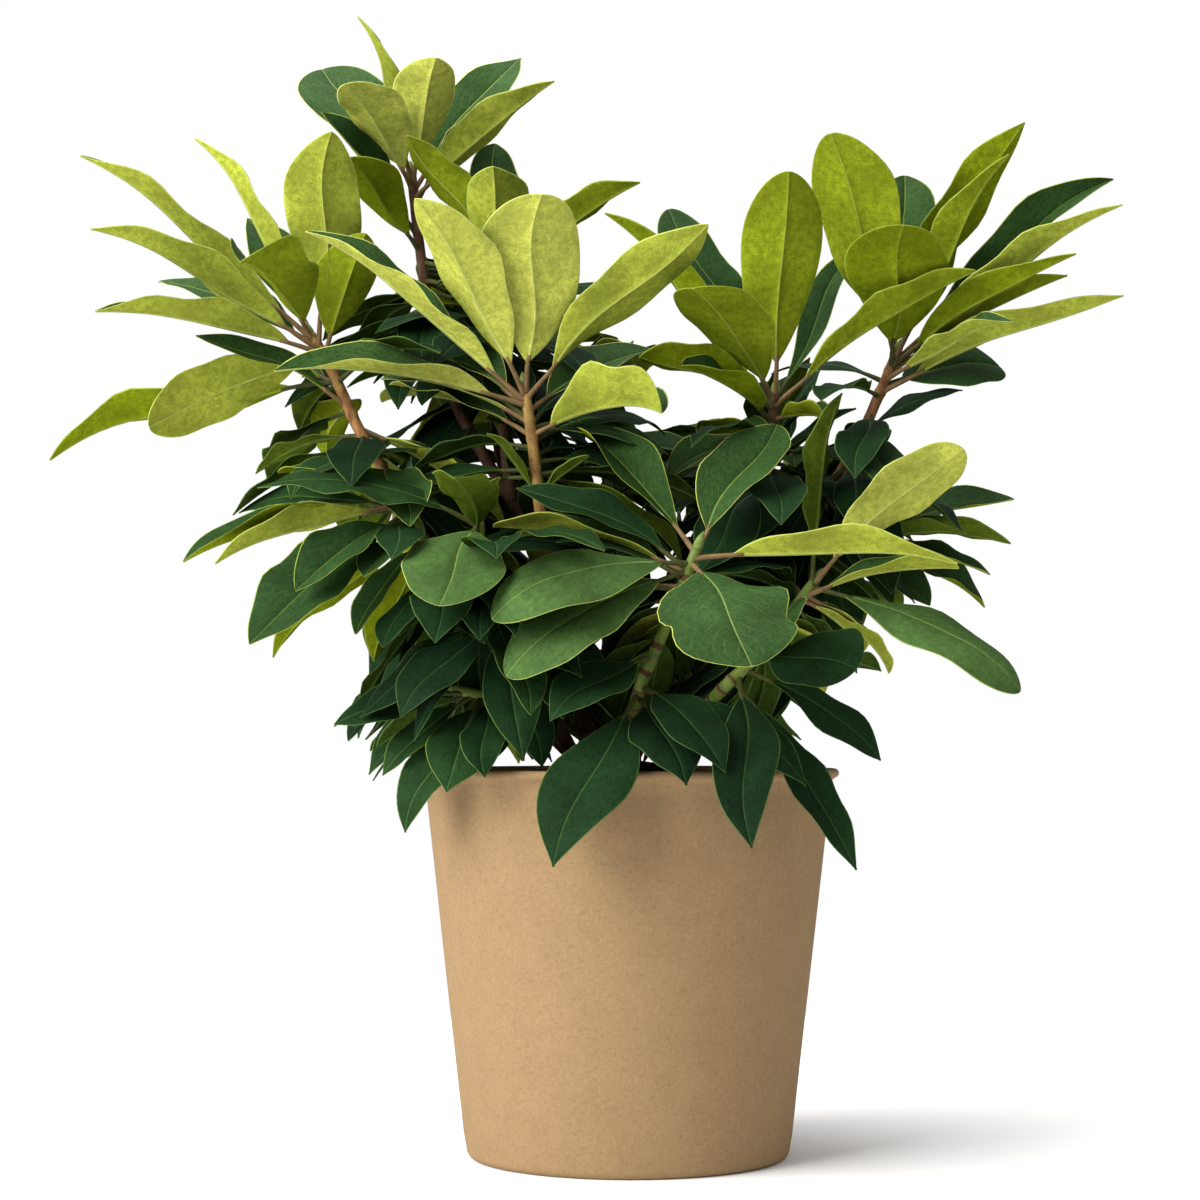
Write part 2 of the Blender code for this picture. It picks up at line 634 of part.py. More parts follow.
def fill_whorl(space, name, path, whorl, chance):
    """The leaves that the rule finds room for on one shoot."""
    frames = []
    tries = whorl["fill"] * FILL_TRIES
    for number in range(tries):
        if len(frames) == whorl["fill"]:
            break
        share = (number / tries) ** FILL_CROWDING
        if whorl["shows"]:
            share = FILL_UNDER_SHOWS + (1 - FILL_UNDER_SHOWS) * share
        leaf = fill_leaf(share, number, leaves_behind(whorl), shoot_length(path), chance)
        base = down_the_shoot(path, leaf[5] * MM)
        frame = leaf_frame(base, leaf[0], leaf[1], leaf[2] * MM, leaf[4])
        if not in_crown(frame) or not keeps_open(frame, leaf[3] * MM):
            continue
        frame = try_leaf(space, name, path, leaf, CLEARANCE)
        if frame:
            frames.append(frame)
    return frames


def grow_leaves(space, shoots):
    """The leaves of every mass: those that show first, then those of the rule."""
    grown = {name: [] for name in MASSES}
    for name, mass in MASSES.items():
        for path, whorl in zip(shoots[name], mass["whorls"]):
            for leaf in whorl["shows"]:
                frame = try_leaf(space, name, path, leaf, CLEARANCE)
                if frame:
                    grown[name].append(frame)
    chance = random.Random(SEED)
    for name, mass in MASSES.items():
        for path, whorl in zip(shoots[name], mass["whorls"]):
            grown[name] += fill_whorl(space, name, path, whorl, chance)
    return grown


def shape_of(obj):
    """Points and faces of a mesh object."""
    points = [vertex.co.copy() for vertex in obj.data.vertices]
    return points, [tuple(face.vertices) for face in obj.data.polygons]


def fuse(obj, pieces):
    """Joins the pieces to the object as one body, and removes them."""
    helpers = new_collection(obj.name + "_pieces")
    for piece in pieces:
        helpers.objects.link(piece)
    joint = obj.modifiers.new("join", "BOOLEAN")
    joint.operation = "UNION"
    joint.operand_type = "COLLECTION"
    joint.collection = helpers
    joint.solver = "EXACT"
    graph = bpy.context.evaluated_depsgraph_get()
    mesh = bpy.data.meshes.new_from_object(obj.evaluated_get(graph))
    obj.modifiers.clear()
    obj.data = mesh
    mesh.name = obj.name
    for piece in pieces:
        bpy.data.objects.remove(piece, do_unlink=True)
    bpy.data.collections.remove(helpers)


def add_shoots(shoots, space, collection, finish):
    """The bare shoots of every mass, the first of each under the mass's own name."""
    twigs = {}
    for name, paths in shoots.items():
        twigs[name] = []
        for number, path in enumerate(paths):
            last = len(path) - 1
            radii = [(SHOOT_ROOT_RADIUS + (SHOOT_TIP_RADIUS - SHOOT_ROOT_RADIUS) * i / last) * MM
                     for i in range(len(path))]
            label = f"{name}_shoot_{number}" if number else name
            twig = limb(label, path, radii, 0, collection, finish)
            space.add(name, *shape_of(twig), None)
            twigs[name].append(twig)
    return twigs


def leaf_object(frame):
    """One leaf as a closed mesh object, in no collection yet."""
    points, faces = leaf_shape(frame, frame["width"], LEAF_STATIONS, 0.0)
    mesh = bpy.data.meshes.new("leaf")
    mesh.from_pydata(points, [], faces)
    close_up(mesh)
    return bpy.data.objects.new("leaf", mesh)


def build():
    """Builds the whole plant."""
    clear_scene()
    plant = new_collection("potted_rhododendron")
    kraft = material("kraft_fibre", (0.50, 0.33, 0.18), 0.85)
    compost = material("compost", (0.035, 0.024, 0.017), 1.0)
    bark = material("bark", (0.25, 0.13, 0.06), 0.9)
    leafy = material("leaves", (0.10, 0.19, 0.05), 0.5)
    turned("pot", pot_profile(), plant, kraft)
    turned("soil", soil_profile(), plant, compost)
    space = Space()
    for obj in [add_trunk(plant, bark), *add_boughs(plant, bark)]:
        space.add("limbs", *shape_of(obj), None)
    shoots = {name: shoot_paths(mass) for name, mass in MASSES.items()}
    twigs = add_shoots(shoots, space, plant, leafy)
    grown = grow_leaves(space, shoots)
    for name, (first, *others) in twigs.items():
        for twig in others:
            plant.objects.unlink(twig)
        fuse(first, others + [leaf_object(frame) for frame in grown[name]])


build()
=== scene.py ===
"""The looks of a potted rhododendron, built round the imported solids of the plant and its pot.

Every leaf is grown again by the rule that grew the solids' leaves, with the same seed, so it lies
where its coarse twin lies. It then gets a fine blade: two skins, a raised midrib, a pale margin, a
fold, waves and a stalk. A second pass of the same rule fills the crown's inside with darker leaves.
Metres, +Z up; the plant's front faces -Y.
"""

import math
import random

import bmesh
import bpy
import numpy as np
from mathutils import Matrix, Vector, noise
from mathutils.bvhtree import BVHTree

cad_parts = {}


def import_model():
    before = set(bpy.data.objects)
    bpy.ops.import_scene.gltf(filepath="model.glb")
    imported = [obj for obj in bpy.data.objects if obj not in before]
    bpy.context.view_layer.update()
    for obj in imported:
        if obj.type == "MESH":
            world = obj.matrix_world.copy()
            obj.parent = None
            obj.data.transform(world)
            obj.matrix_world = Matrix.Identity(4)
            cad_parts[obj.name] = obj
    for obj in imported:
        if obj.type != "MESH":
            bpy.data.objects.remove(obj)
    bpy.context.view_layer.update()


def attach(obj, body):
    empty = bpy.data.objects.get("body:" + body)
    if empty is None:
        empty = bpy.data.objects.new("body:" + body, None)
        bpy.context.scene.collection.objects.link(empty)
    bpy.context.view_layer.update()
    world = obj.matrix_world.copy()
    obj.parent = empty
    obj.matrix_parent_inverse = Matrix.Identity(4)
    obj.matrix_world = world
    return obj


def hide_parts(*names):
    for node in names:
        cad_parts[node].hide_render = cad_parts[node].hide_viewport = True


MM = 0.001
SEED = 20
GAP = 0.3 * MM
BODY = "root"

# Pot and compost, as in the solids
POT_HEIGHT = 0.219
POT_RIM_RADIUS = 0.120
POT_TOP_RADIUS = 0.1165
POT_FOOT_RADIUS = 0.0915
POT_WALL = 0.0022
SOIL_DEPTH_UNDER_RIM = 0.024
SOIL_TOP = POT_HEIGHT - SOIL_DEPTH_UNDER_RIM

# Trunk, boughs and shoots, as in the solids
TRUNK_FOOT = (0, 0, SOIL_TOP / MM + 0.3)
TRUNK_TIP = (-8, 4, 300)
TRUNK_RADII = ((0.0, 17.0), (0.06, 13.0), (0.16, 10.5), (0.5, 9.0), (1.0, 7.0))
TRUNK_SIDES = 4
BOUGH_ROOT_RADIUS = 5.0
BOUGH_TIP_RADIUS = 3.4
BOUGH_POINTS = 7
BOUGH_LEAVE = 0.33
BOUGH_ARRIVE = 0.36
BOUGH_SIDES = 1
SHOOT_ROOT_RADIUS = 3.0
SHOOT_TIP_RADIUS = 2.3
SHOOT_POINTS = 7
SHOOT_LEAD = 6.0
FORK_LEAD = 8.0

# Leaf: a petiole and a blade, as shares of the whole length
PETIOLE = 0.15
PETIOLE_RADIUS = 1.2 * MM
BLADE_SWELL = 0.9
BLADE_POINT = 0.75
LEAF_STATIONS = (0.0, PETIOLE, 0.40, 0.76)
LEAF_THICKNESS = 0.018
LEAF_LIFT = 0.10
LEAF_DROOP = 14
LEAF_DROOP_WHEN_FLAT = 34
LEAF_WIDTH_SHARE = 0.34
CLEAR_OVER_RIM = 2 * MM
CLEAR_OF_WALL = 3 * MM

# The rule's own leaves, from the shoot's tip down: their lengths, their rise, how far they stray
FILL_LENGTHS = (86, 122)
FILL_SHORTER = 0.25
FILL_RISE = (52, -76)
FILL_EARLY_FALL = 0.55
FILL_STRAY = 16
FILL_TURN_STRAY = 12
FILL_WIDTHS = (0.9, 1.15)
FILL_FACES = (-0.3, 0.6)
FILL_BACK_SPAN = 170
FILL_BEHIND = 0.5
BARE_IN_FRONT = 2.0
FILL_DOWN_THE_SHOOT = 0.8
FILL_CROWDING = 0.8
FILL_UNDER_SHOWS = 0.14
FILL_TRIES = 3
CLEARANCE = 0.7 * MM

# Swings, in degrees of clock and of lean, that a leaf may make to stay clear of its neighbours
NUDGES = ((0, 0), (0, 7), (0, -7), (4, 0), (-4, 0), (4, 8), (-4, 8), (4, -8), (-4, -8),
          (0, 14), (0, -14), (8, 0), (-8, 0), (8, 14), (-8, 14), (8, -14), (-8, -14))
GOLDEN_ANGLE = 137.5
CROWN_CENTRE = Vector((-22, 25, 375)) * MM
CROWN_REACH = Vector((228, 250, 150)) * MM
CROWN_DEPTH = 215 * MM

# Openings in the crown that the rule's leaves leave open, as the eye in front of it sees them in
# the plane y = 0: x, z and radius in mm
EYE = Vector((0, -1600, 242)) * MM
OPENINGS = ((107, 415, 9), (137, 448, 5), (164, 422, 8), (204, 415, 14), (61, 448, 5), (44, 457, 4),
            (54, 424, 8), (18, 494, 9), (7, 477, 7), (35, 491, 6), (-147, 410, 7), (-120, 418, 5),
            (-187, 365, 6), (-164, 345, 7), (-146, 338, 5), (-153, 314, 10), (-167, 292, 15),
            (-162, 264, 9), (-230, 402, 10), (110, 245, 13), (130, 234, 10), (138, 258, 9),
            (139, 299, 5), (158, 292, 5), (15, 334, 5), (224, 389, 9), (190, 292, 7),
            (-164, 218, 14), (-187, 235, 17), (158, 256, 14))

# Second pass of the rule: darker leaves between those that the solids have
INFILL_SEED = 13
INFILL_LEAVES = 15
INFILL_TRIES = 70
INFILL_LENGTHS = (70, 108)
INFILL_CLEARANCE = 0.1 * MM
INFILL_REACH = 0.82
TIP_TRIES = 9
TIP_LENGTHS = (44, 66)

# Fine blade: rows from the stalk to the tip, columns across, thicknesses and widths in mm
BLADE_ROWS = 26
COLUMN_SHARES = (0.20, 0.40, 0.60, 0.80)
SKIN = 0.4 * MM

# Ways of growing, each a span to draw from: the fold and twist in degrees, the rest as shares
STYLES = {
    "young": {"fold": (16, 30), "cup": (-0.10, 0.12), "twist": (-24, 24), "wave": (0.010, 0.024),
              "swell": (0.92, 1.15), "point": (0.70, 0.95), "curl": (-0.04, 0.10), "bow": (0.6, 1.0)},
    "old": {"fold": (4, 18), "cup": (-0.24, 0.04), "twist": (-20, 20), "wave": (0.008, 0.024),
            "swell": (1.0, 1.22), "point": (0.90, 1.15), "curl": (-0.02, 0.14), "bow": (0.8, 1.1)},
    "broad": {"fold": (6, 13), "cup": (-0.12, 0.02), "twist": (-8, 8), "wave": (0.008, 0.018),
              "swell": (0.84, 0.96), "point": (0.50, 0.60), "curl": (0.0, 0.05), "bow": (0.6, 0.9)},
    "blade": {"fold": (26, 36), "cup": (-0.06, 0.08), "twist": (20, 46), "wave": (0.010, 0.022),
              "swell": (0.85, 1.0), "point": (0.85, 1.05), "curl": (0.02, 0.10), "bow": (0.3, 0.6)},
    "arched": {"fold": (2, 8), "cup": (-0.34, -0.20), "twist": (-10, 14), "wave": (0.012, 0.022),
               "swell": (0.80, 0.92), "point": (0.55, 0.68), "curl": (0.20, 0.30), "bow": (1.0, 1.3)},
    "lobed": {"fold": (4, 8), "cup": (-0.16, -0.08), "twist": (-6, 6), "wave": (0.030, 0.036),
              "swell": (0.76, 0.80), "point": (0.56, 0.62), "curl": (0.04, 0.08), "bow": (0.8, 1.0)},
    "slim": {"fold": (8, 18), "cup": (-0.22, -0.06), "twist": (-12, 12), "wave": (0.014, 0.024),
             "swell": (1.05, 1.25), "point": (1.05, 1.25), "curl": (0.06, 0.14), "bow": (0.9, 1.1)},
    "curled": {"fold": (16, 26), "cup": (0.30, 0.55), "twist": (-30, 30), "wave": (0.04, 0.06),
               "swell": (0.80, 0.92), "point": (0.50, 0.62), "curl": (0.06, 0.16), "bow": (0.8, 1.2)},
}
LOBES = 0.10
SLIM_WIDTH = 0.86
RIB_HALF_WIDTH = (0.65 * MM, 0.25 * MM)
RIB_HEIGHT = (1.1 * MM, 0.15 * MM)
GROOVE = 0.25 * MM
MARGIN_WIDTH = 0.5 * MM
STALK_RADII = (1.7 * MM, 1.1 * MM)
STALK_SIDES = 8
STALK_RINGS = 7
STALK_OVERLAP = 0.04

# Fine limbs: sides round and rings along each
BARK_SIDES = 28
BARK_STEP = 2.2 * MM
TWIG_SIDES = 16
TWIG_STEP = 2.5 * MM
TWIG_SWELL = 1.25
TWIG_SEED = 11
NODE_ROWS = (5, 12)
NODE_SWELL = 1.14
USUAL_TWIGS = ("twig_old", "twig_green")
TWIGS = {"foliage_centre": ("twig_old", "twig_young"), "foliage_left": ("twig_old", "twig_young"),
         "foliage_front": ("twig_green", "twig_green"), "foliage_lower_right": ("twig_green", "twig_green"),
         "foliage_low_left": ("twig_green", "twig_green"), "foliage_upper_left": ("twig_red", "twig_red"),
         "foliage_right": ("twig_red", "twig_old"), "foliage_right_centre": ("twig_red", "twig_red")}

# Colours as seen on a screen under the lamps, 0 to 1, and how many times brighter these lamps are
# than one that shows a colour as it is. A shade gives a leaf's upper side, underside, and margin
EXPOSURE = 1.8
SHADES = {
    "bright": ((0.29, 0.45, 0.23), (1.03, 1.06, 0.47), (1.02, 1.05, 0.58)),
    "lime": ((0.26, 0.41, 0.21), (0.87, 0.92, 0.34), (0.92, 0.96, 0.48)),
    "moss": ((0.23, 0.37, 0.18), (0.70, 0.77, 0.17), (0.78, 0.84, 0.33)),
    "olive": ((0.22, 0.36, 0.19), (0.66, 0.73, 0.13), (0.72, 0.79, 0.28)),
    "mid": ((0.18, 0.32, 0.165), (0.46, 0.55, 0.16), (0.54, 0.64, 0.27)),
    "dark": ((0.145, 0.27, 0.15), (0.32, 0.42, 0.15), (0.44, 0.57, 0.27)),
    "deep": ((0.12, 0.225, 0.13), (0.25, 0.34, 0.13), (0.37, 0.50, 0.25)),
    "fresh": ((0.37, 0.52, 0.27), (0.66, 0.74, 0.24), (0.80, 0.87, 0.44)),
}
SHADE_ORDER = tuple(SHADES)
YOUNG_SHADES = ("bright", "lime", "moss", "olive")
KINDS = ("upper", "under", "margin", "rib")
UPPER, UNDER, MARGIN, RIB = range(len(KINDS))
RIB_PALENESS = 0.45
STALKS = {"stalk_light": (0.62, 0.50, 0.34), "stalk_dark": (0.36, 0.38, 0.20)}

# How light the young leaves of each shoot are, by mass
TINTS = {
    "foliage_upper_left": ("lime", "lime", "olive"),
    "foliage_left": ("lime", "olive"),
    "foliage_lower_left": ("olive",),
    "foliage_centre": ("bright",),
    "foliage_right_centre": ("moss", "olive"),
    "foliage_right": ("moss",),
    "foliage_front": ("lime",),
    "foliage_lower_right": ("lime",),
    "foliage_low_right": ("olive",),
    "foliage_low_left": ("mid", "mid"),
    "foliage_side_left": ("mid",),
    "foliage_side_right": ("mid",),
    "foliage_back_left": ("lime", "mid"),
    "foliage_back_centre": ("lime", "mid"),
    "foliage_back_right": ("olive", "mid"),
    "foliage_back_low": ("mid", "dark"),
}
# A leaf further down its shoot than this, in mm, is an old, dark one
YOUNG_REACH = {"foliage_left": 90}
USUAL_YOUNG_REACH = 34
STEPS_DARKER_WHEN_OLD = 4
SHADE_SEED = 3

# Pot, bud and vein sizes
FOOT_ROUND = 5 * MM
RIM_BEAD = 2.6 * MM
BUD_LENGTH = 11 * MM
BUD_RADIUS = 2.6 * MM
VEIN_COUNT = 10
VEIN_SLANT = 11.0
KRAFT = (0.73, 0.60, 0.435)

# Stage: a light is its name, place, what it points at, its size and its power
FLOOR_RADIUS = 0.78
BACKGROUND = 1.0
AMBIENT = 0.56
LIGHTS = (
    ("key", (-2.0, -1.45, 1.6), (0, 0, 0.3), 2.2, 148),
    ("top", (-0.2, 0.3, 2.3), (0, 0, 0.3), 1.6, 43),
)
CAMERA_PLACE = (0.0, -1.60, 0.242)
CAMERA_AIM = (-0.016, 0.0, 0.315)

# Masses of foliage. bough: height in mm and compass angle in degrees where its bough leaves the
# trunk. stem: where the bough ends and the mass begins. whorls: each has the points its shoot
# passes, the last of them its tip, the leaves that show, and how many more the rule adds, and says
# bare_in_front where the rule's leaves keep to the shoot's back all the way down.
# A leaf that shows is (clock, lean, length, width, face, drop): its direction seen from the front
# (0 right, 90 up), its lean towards the viewer in degrees, its length and width in mm, how far its
# upper side turns to the viewer (+) or away (-), and how far down the shoot it sits in mm. Some add
# a style and a shade of their own, and how far the fine blade rolls to the viewer, in degrees.
MASSES = {
    "foliage_upper_left": {
        "bough": (300, None), "stem": (-62, 18, 366),
        "whorls": (
            {"route": ((-100, 25, 430), (-117, 22, 492), (-126, 20, 563)), "fill": 10, "shows": (
                (108, 30, 102, 22, 0.35, 2, "blade", "lime"), (126, -28, 114, 54, 0.9, 5, "broad", "lime"),
                (126, 50, 90, 42, 0.0, 8, "young", "bright"), (74, 35, 85, 40, 0.0, 4, "young", "bright"),
                (56, -25, 120, 38, 0.9, 8, "old"), (37, 15, 107, 32, -0.5, 12, "blade"),
                (56, 0, 69, 14, 0.4, 16), (129, 20, 90, 32, 0.5, 34, "blade", "olive"),
                (131, 32, 77, 34, -0.4, 44, "young", "olive"))},
            {"route": ((-72, 12, 420), (-75, 12, 508)), "fill": 6, "shows": (
                (125, 14, 95, 32, -0.4, 2, "young"), (91, 40, 71, 40, 0.0, 4, "young"),
                (93, -30, 104, 32, 0.3, 6), (33, 15, 101, 30, -0.5, 8, "blade"),
                (74, -5, 59, 26, -0.3, 10, "young"))},
            {"route": ((-78, 50, 420), (-80, 106, 474)), "fill": 8, "shows": ()},
        )},
    "foliage_left": {
        "bough": (250, 190), "stem": (-70, -14, 304),
        "whorls": (
            {"route": ((-124, -23, 368), (-152, -20, 410), (-168, -20, 445), (-180, -20, 465)),
             "fill": 9, "shows": (
                (142, 10, 166, 34, -0.45, 4, "blade", "lime", 14), (154, 20, 143, 36, -0.4, 8, "blade", "lime"),
                (173, 28, 134, 36, -0.4, 12, "blade", "lime", 10), (155, -24, 122, 34, 0.6, 10),
                (121, -10, 146, 26, -0.3, 6, "blade", "lime"), (84, 22, 123, 46, 0.0, 8, "young", "lime"),
                (120, -26, 112, 36, 0.4, 4), (135, 55, 80, 48, 0.0, 2, "curled"),
                (69, 10, 74, 38, -0.3, 14, "young"), (203, 10, 107, 46, -0.9, 16, "broad", "lime"),
                (194, -10, 177, 36, -0.6, 30, "blade", "olive"), (164, 0, 94, 24, 0.7, 46))},
            {"route": ((-108, 14, 350), (-142, 42, 400)), "fill": 8, "shows": ()},
        )},
    "foliage_lower_left": {
        "bough": (234, 232), "stem": (-56, -42, 280),
        "whorls": (
            {"route": ((-98, -60, 326), (-129, -64, 368)), "fill": 7, "shows": (
                (195, 10, 122, 44, -0.5, 6, "blade", "olive", 30), (200, 20, 108, 30, -0.6, 4, "blade", "lime"),
                (224, 30, 123, 48, 0.9, 10), (218, 42, 93, 36, 0.6, 14),
                (223, -5, 107, 28, -0.9, 18, "blade"), (179, -22, 103, 28, 0.7, 8),
                (230, 50, 67, 26, 0.0, 22), (237, 8, 65, 20, 0.6, 26), (246, -20, 77, 26, -0.8, 28))},
        )},
    "foliage_centre": {
        "bough": (250, 262), "stem": (-28, -40, 286),
        "whorls": (
            {"route": ((-45, -54, 338), (-52, -62, 395), (-57, -60, 429)),
             "fill": 9, "bare_in_front": True, "shows": (
                (84, 26, 113, 57, 0.0, 2, "broad", "bright"), (116, 20, 129, 46, -0.2, 4, "young", "bright"),
                (42, 15, 139, 40, -0.6, 5, "young", "lime"), (143, 10, 152, 40, -0.25, 7, "blade", "bright", 30),
                (174, 15, 141, 38, -0.25, 9, "blade", "bright", 30), (7, 22, 78, 42, -0.3, 26, "curled", "lime"),
                (150, -35, 112, 40, 0.5, 10), (30, -35, 100, 40, 0.5, 12),
                (130, 25, 47, 12, 0.0, 60, "young"), (41, 10, 37, 12, -0.3, 62, "young"))},
        )},
    "foliage_right_centre": {
        "bough": (268, 335), "stem": (46, -8, 308),
        "whorls": (
            {"route": ((76, -10, 366), (84, -10, 432)), "fill": 8, "shows": (
                (87, 15, 128, 48, 0.0, 2, "broad", "moss"), (133, 50, 110, 52, 0.0, 4, "broad", "moss"),
                (33, 10, 136, 34, -0.6, 6, "young", "moss", 20), (163, 22, 92, 32, -0.5, 8, "young"),
                (116, -20, 144, 36, 0.6, 6, "broad"), (131, -4, 147, 28, -0.5, 8, "blade"),
                (155, 32, 84, 34, 0.5, 16), (63, -20, 115, 22, 0.5, 8),
                (34, 0, 60, 12, 0.4, 42, "blade"), (352, 35, 37, 22, 0.0, 14, "curled"),
                (205, 30, 76, 32, 0.6, 24))},
            {"route": ((66, 24, 360), (86, 70, 410)), "fill": 8, "shows": ()},
        )},
    "foliage_right": {
        "bough": (250, 25), "stem": (84, 14, 330),
        "whorls": (
            {"route": ((122, 12, 388), (138, 10, 418), (155, 10, 458)), "fill": 9, "shows": (
                (108, 10, 134, 54, -0.2, 2, "broad"), (84, -25, 131, 42, 0.5, 4),
                (61, 0, 158, 40, -0.5, 4, "young"), (61, 14, 135, 30, -0.4, 6, "blade"),
                (40, -8, 175, 34, 0.7, 6, "blade"), (38, 10, 159, 36, -0.5, 8, "blade", "lime", 8),
                (30, 25, 126, 30, -0.5, 9, "blade"), (29, 0, 122, 32, -0.5, 12, "blade"),
                (21, 8, 148, 36, -0.6, 24, "blade", "lime", 12), (21, 36, 88, 26, -0.2, 16, "blade", "lime", 20),
                (11, -20, 77, 50, 0.9, 20, "broad"), (89, 50, 96, 58, 0.0, 8, "broad"),
                (23, 0, 63, 20, 0.6, 50))},
        )},
    "foliage_front": {
        "bough": (218, 273), "stem": (3, -74, 250),
        "whorls": (
            {"route": ((8, -92, 268), (22, -98, 300), (37, -100, 338)),
             "fill": 5, "bare_in_front": True, "shows": (
                (132, -30, 112, 38, 0.5, 2), (58, -35, 110, 44, 0.6, 3),
                (358, 10, 141, 38, -0.5, 5, "blade", "lime", 12), (296, 55, 112, 70, 0.5, 8, "lobed", "lime"),
                (197, 20, 117, 46, 0.8, 8, "arched", "fresh"), (211, 16, 117, 46, 0.8, 12, "arched", "fresh"),
                (244, 26, 122, 57, 0.5, 84, "slim", "dark"), (298, 48, 80, 44, 0.4, 88, "slim", "deep"),
                (313, 46, 91, 42, 0.5, 80, "slim", "deep"), (329, 20, 108, 42, 0.7, 82, "slim"),
                (213, 30, 75, 40, 0.8, 62, "slim"))},
        )},
    "foliage_lower_right": {
        "bough": (218, 334), "stem": (42, -72, 252),
        "whorls": (
            {"route": ((54, -88, 266), (72, -82, 284), (104, -52, 324)),
             "fill": 6, "bare_in_front": True, "shows": (
                (42, 15, 111, 46, -0.5, 3, "broad", "bright"), (332, 16, 130, 38, 0.7, 6, "arched", "fresh"),
                (319, -30, 76, 22, 0.4, 12), (325, -48, 61, 24, 0.6, 16),
                (236, 45, 62, 46, -0.5, 10, "broad"), (80, -10, 113, 24, -0.3, 6, "young", "mid"),
                (272, 36, 124, 42, 0.5, 78, "slim", "deep"), (302, 15, 124, 27, 0.6, 82), (326, 0, 89, 30, 0.7, 74),
                (351, 34, 63, 54, 0.9, 64, "broad"))},
        )},
    "foliage_low_right": {
        "bough": (234, 358), "stem": (70, 18, 284),
        "whorls": (
            {"route": ((112, 32, 322), (133, 40, 352)), "fill": 7, "shows": (
                (16, -10, 103, 36, 0.6, 3), (348, 10, 83, 28, 0.5, 5), (336, -10, 89, 34, 0.7, 4),
                (0, 25, 98, 26, -0.5, 6, "young"), (6, 40, 83, 20, -0.4, 8, "young"),
                (327, 30, 64, 32, 0.6, 12))},
        )},
    "foliage_low_left": {
        "bough": (218, 211), "stem": (-48, -60, 258),
        "whorls": (
            {"route": ((-64, -74, 280), (-78, -80, 318), (-81, -80, 356)), "fill": 3, "shows": (
                (251, 54, 88, 56, 0.6, 2, "broad", "fresh"), (64, 0, 26, 12, -0.3, 1, "young"),
                (171, 12, 122, 36, 0.6, 4, "old"), (283, 25, 89, 38, 0.5, 54, "slim", "dark"),
                (227, 30, 82, 40, 0.6, 58, "slim"), (212, 0, 72, 28, 0.6, 60), (20, 40, 84, 38, 0.6, 50),
                (330, 45, 76, 36, 0.6, 62, "slim"))},
            {"route": ((-68, -68, 258), (-90, -66, 262)), "fill": 0, "shows": (
                (194, 10, 75, 30, 0.8, 2), (209, -20, 65, 20, -0.6, 4, "young"),
                (222, 5, 67, 24, 0.7, 6), (243, 5, 86, 30, 0.7, 8), (253, 42, 73, 38, 0.5, 10),
                (282, 40, 74, 26, 0.6, 12))},
        )},
    "foliage_side_left": {
        "bough": (218, 160), "stem": (-62, 14, 252),
        "whorls": (
            {"route": ((-84, 16, 264), (-104, 18, 284)), "fill": 9, "shows": ()},
        )},
    "foliage_side_right": {
        "bough": (218, 28), "stem": (60, 22, 250),
        "whorls": (
            {"route": ((74, 26, 260), (92, 30, 276)), "fill": 9, "shows": ()},
        )},
    "foliage_back_left": {
        "bough": (234, 140), "stem": (-54, 50, 286),
        "whorls": (
            {"route": ((-110, 84, 342), (-150, 120, 388)), "fill": 10, "shows": ()},
            {"route": ((-100, 90, 304), (-132, 142, 312)), "fill": 9, "shows": ()},
        )},
    "foliage_back_centre": {
        "bough": (250, 96), "stem": (-8, 58, 306),
        "whorls": (
            {"route": ((-12, 98, 380), (-14, 150, 440)), "fill": 11, "shows": ()},
            {"route": ((10, 98, 346), (34, 166, 368)), "fill": 9, "shows": ()},
        )},
    "foliage_back_right": {
        "bough": (234, 62), "stem": (44, 50, 284),
        "whorls": (
            {"route": ((80, 84, 350), (100, 130, 410)), "fill": 10, "shows": ()},
            {"route": ((92, 84, 308), (128, 138, 326)), "fill": 9, "shows": ()},
        )},
    "foliage_back_low": {
        "bough": (218, 92), "stem": (0, 82, 254),
        "whorls": (
            {"route": ((-22, 98, 268), (-46, 136, 274)), "fill": 8, "shows": ()},
            {"route": ((24, 98, 270), (54, 136, 278)), "fill": 8, "shows": ()},
        )},
}


def new_object(name, mesh):
    """An object of the scene with this mesh."""
    obj = bpy.data.objects.new(name, mesh)
    bpy.context.scene.collection.objects.link(obj)
    return obj


def smooth_path(points, count):
    """Points evenly along a smooth curve through the given ones."""
    ends = [points[0] * 2 - points[1], *points, points[-1] * 2 - points[-2]]
    spans = len(points) - 1
    path = []
    for step in range(count):
        place = spans * step / (count - 1)
        span = min(int(place), spans - 1)
        t = place - span
        a, b, c, d = ends[span:span + 4]
        path.append(0.5 * ((2 * b) + (c - a) * t + (2 * a - 5 * b + 4 * c - d) * t * t
                           + (3 * b - a - 3 * c + d) * t ** 3))
    return path


def limb_shape(name, path, radii, sides):
    """Points and faces of the solids' plain limb along a path."""
    curve = bpy.data.curves.new(name, "CURVE")
    curve.dimensions = "3D"
    curve.bevel_depth = 1.0
    curve.bevel_resolution = sides
    curve.use_fill_caps = True
    spline = curve.splines.new("POLY")
    spline.points.add(len(path) - 1)
    for point, place, radius in zip(spline.points, path, radii):
        point.co = (*place, 1.0)
        point.radius = radius
    drawn = bpy.data.objects.new(name + "_curve", curve)
    bpy.context.scene.collection.objects.link(drawn)
    graph = bpy.context.evaluated_depsgraph_get()
    mesh = bpy.data.meshes.new_from_object(drawn.evaluated_get(graph))
    bpy.data.objects.remove(drawn, do_unlink=True)
    close_up(mesh)
    points = [vertex.co.copy() for vertex in mesh.vertices]
    faces = [tuple(face.vertices) for face in mesh.polygons]
    bpy.data.meshes.remove(mesh)
    return points, faces


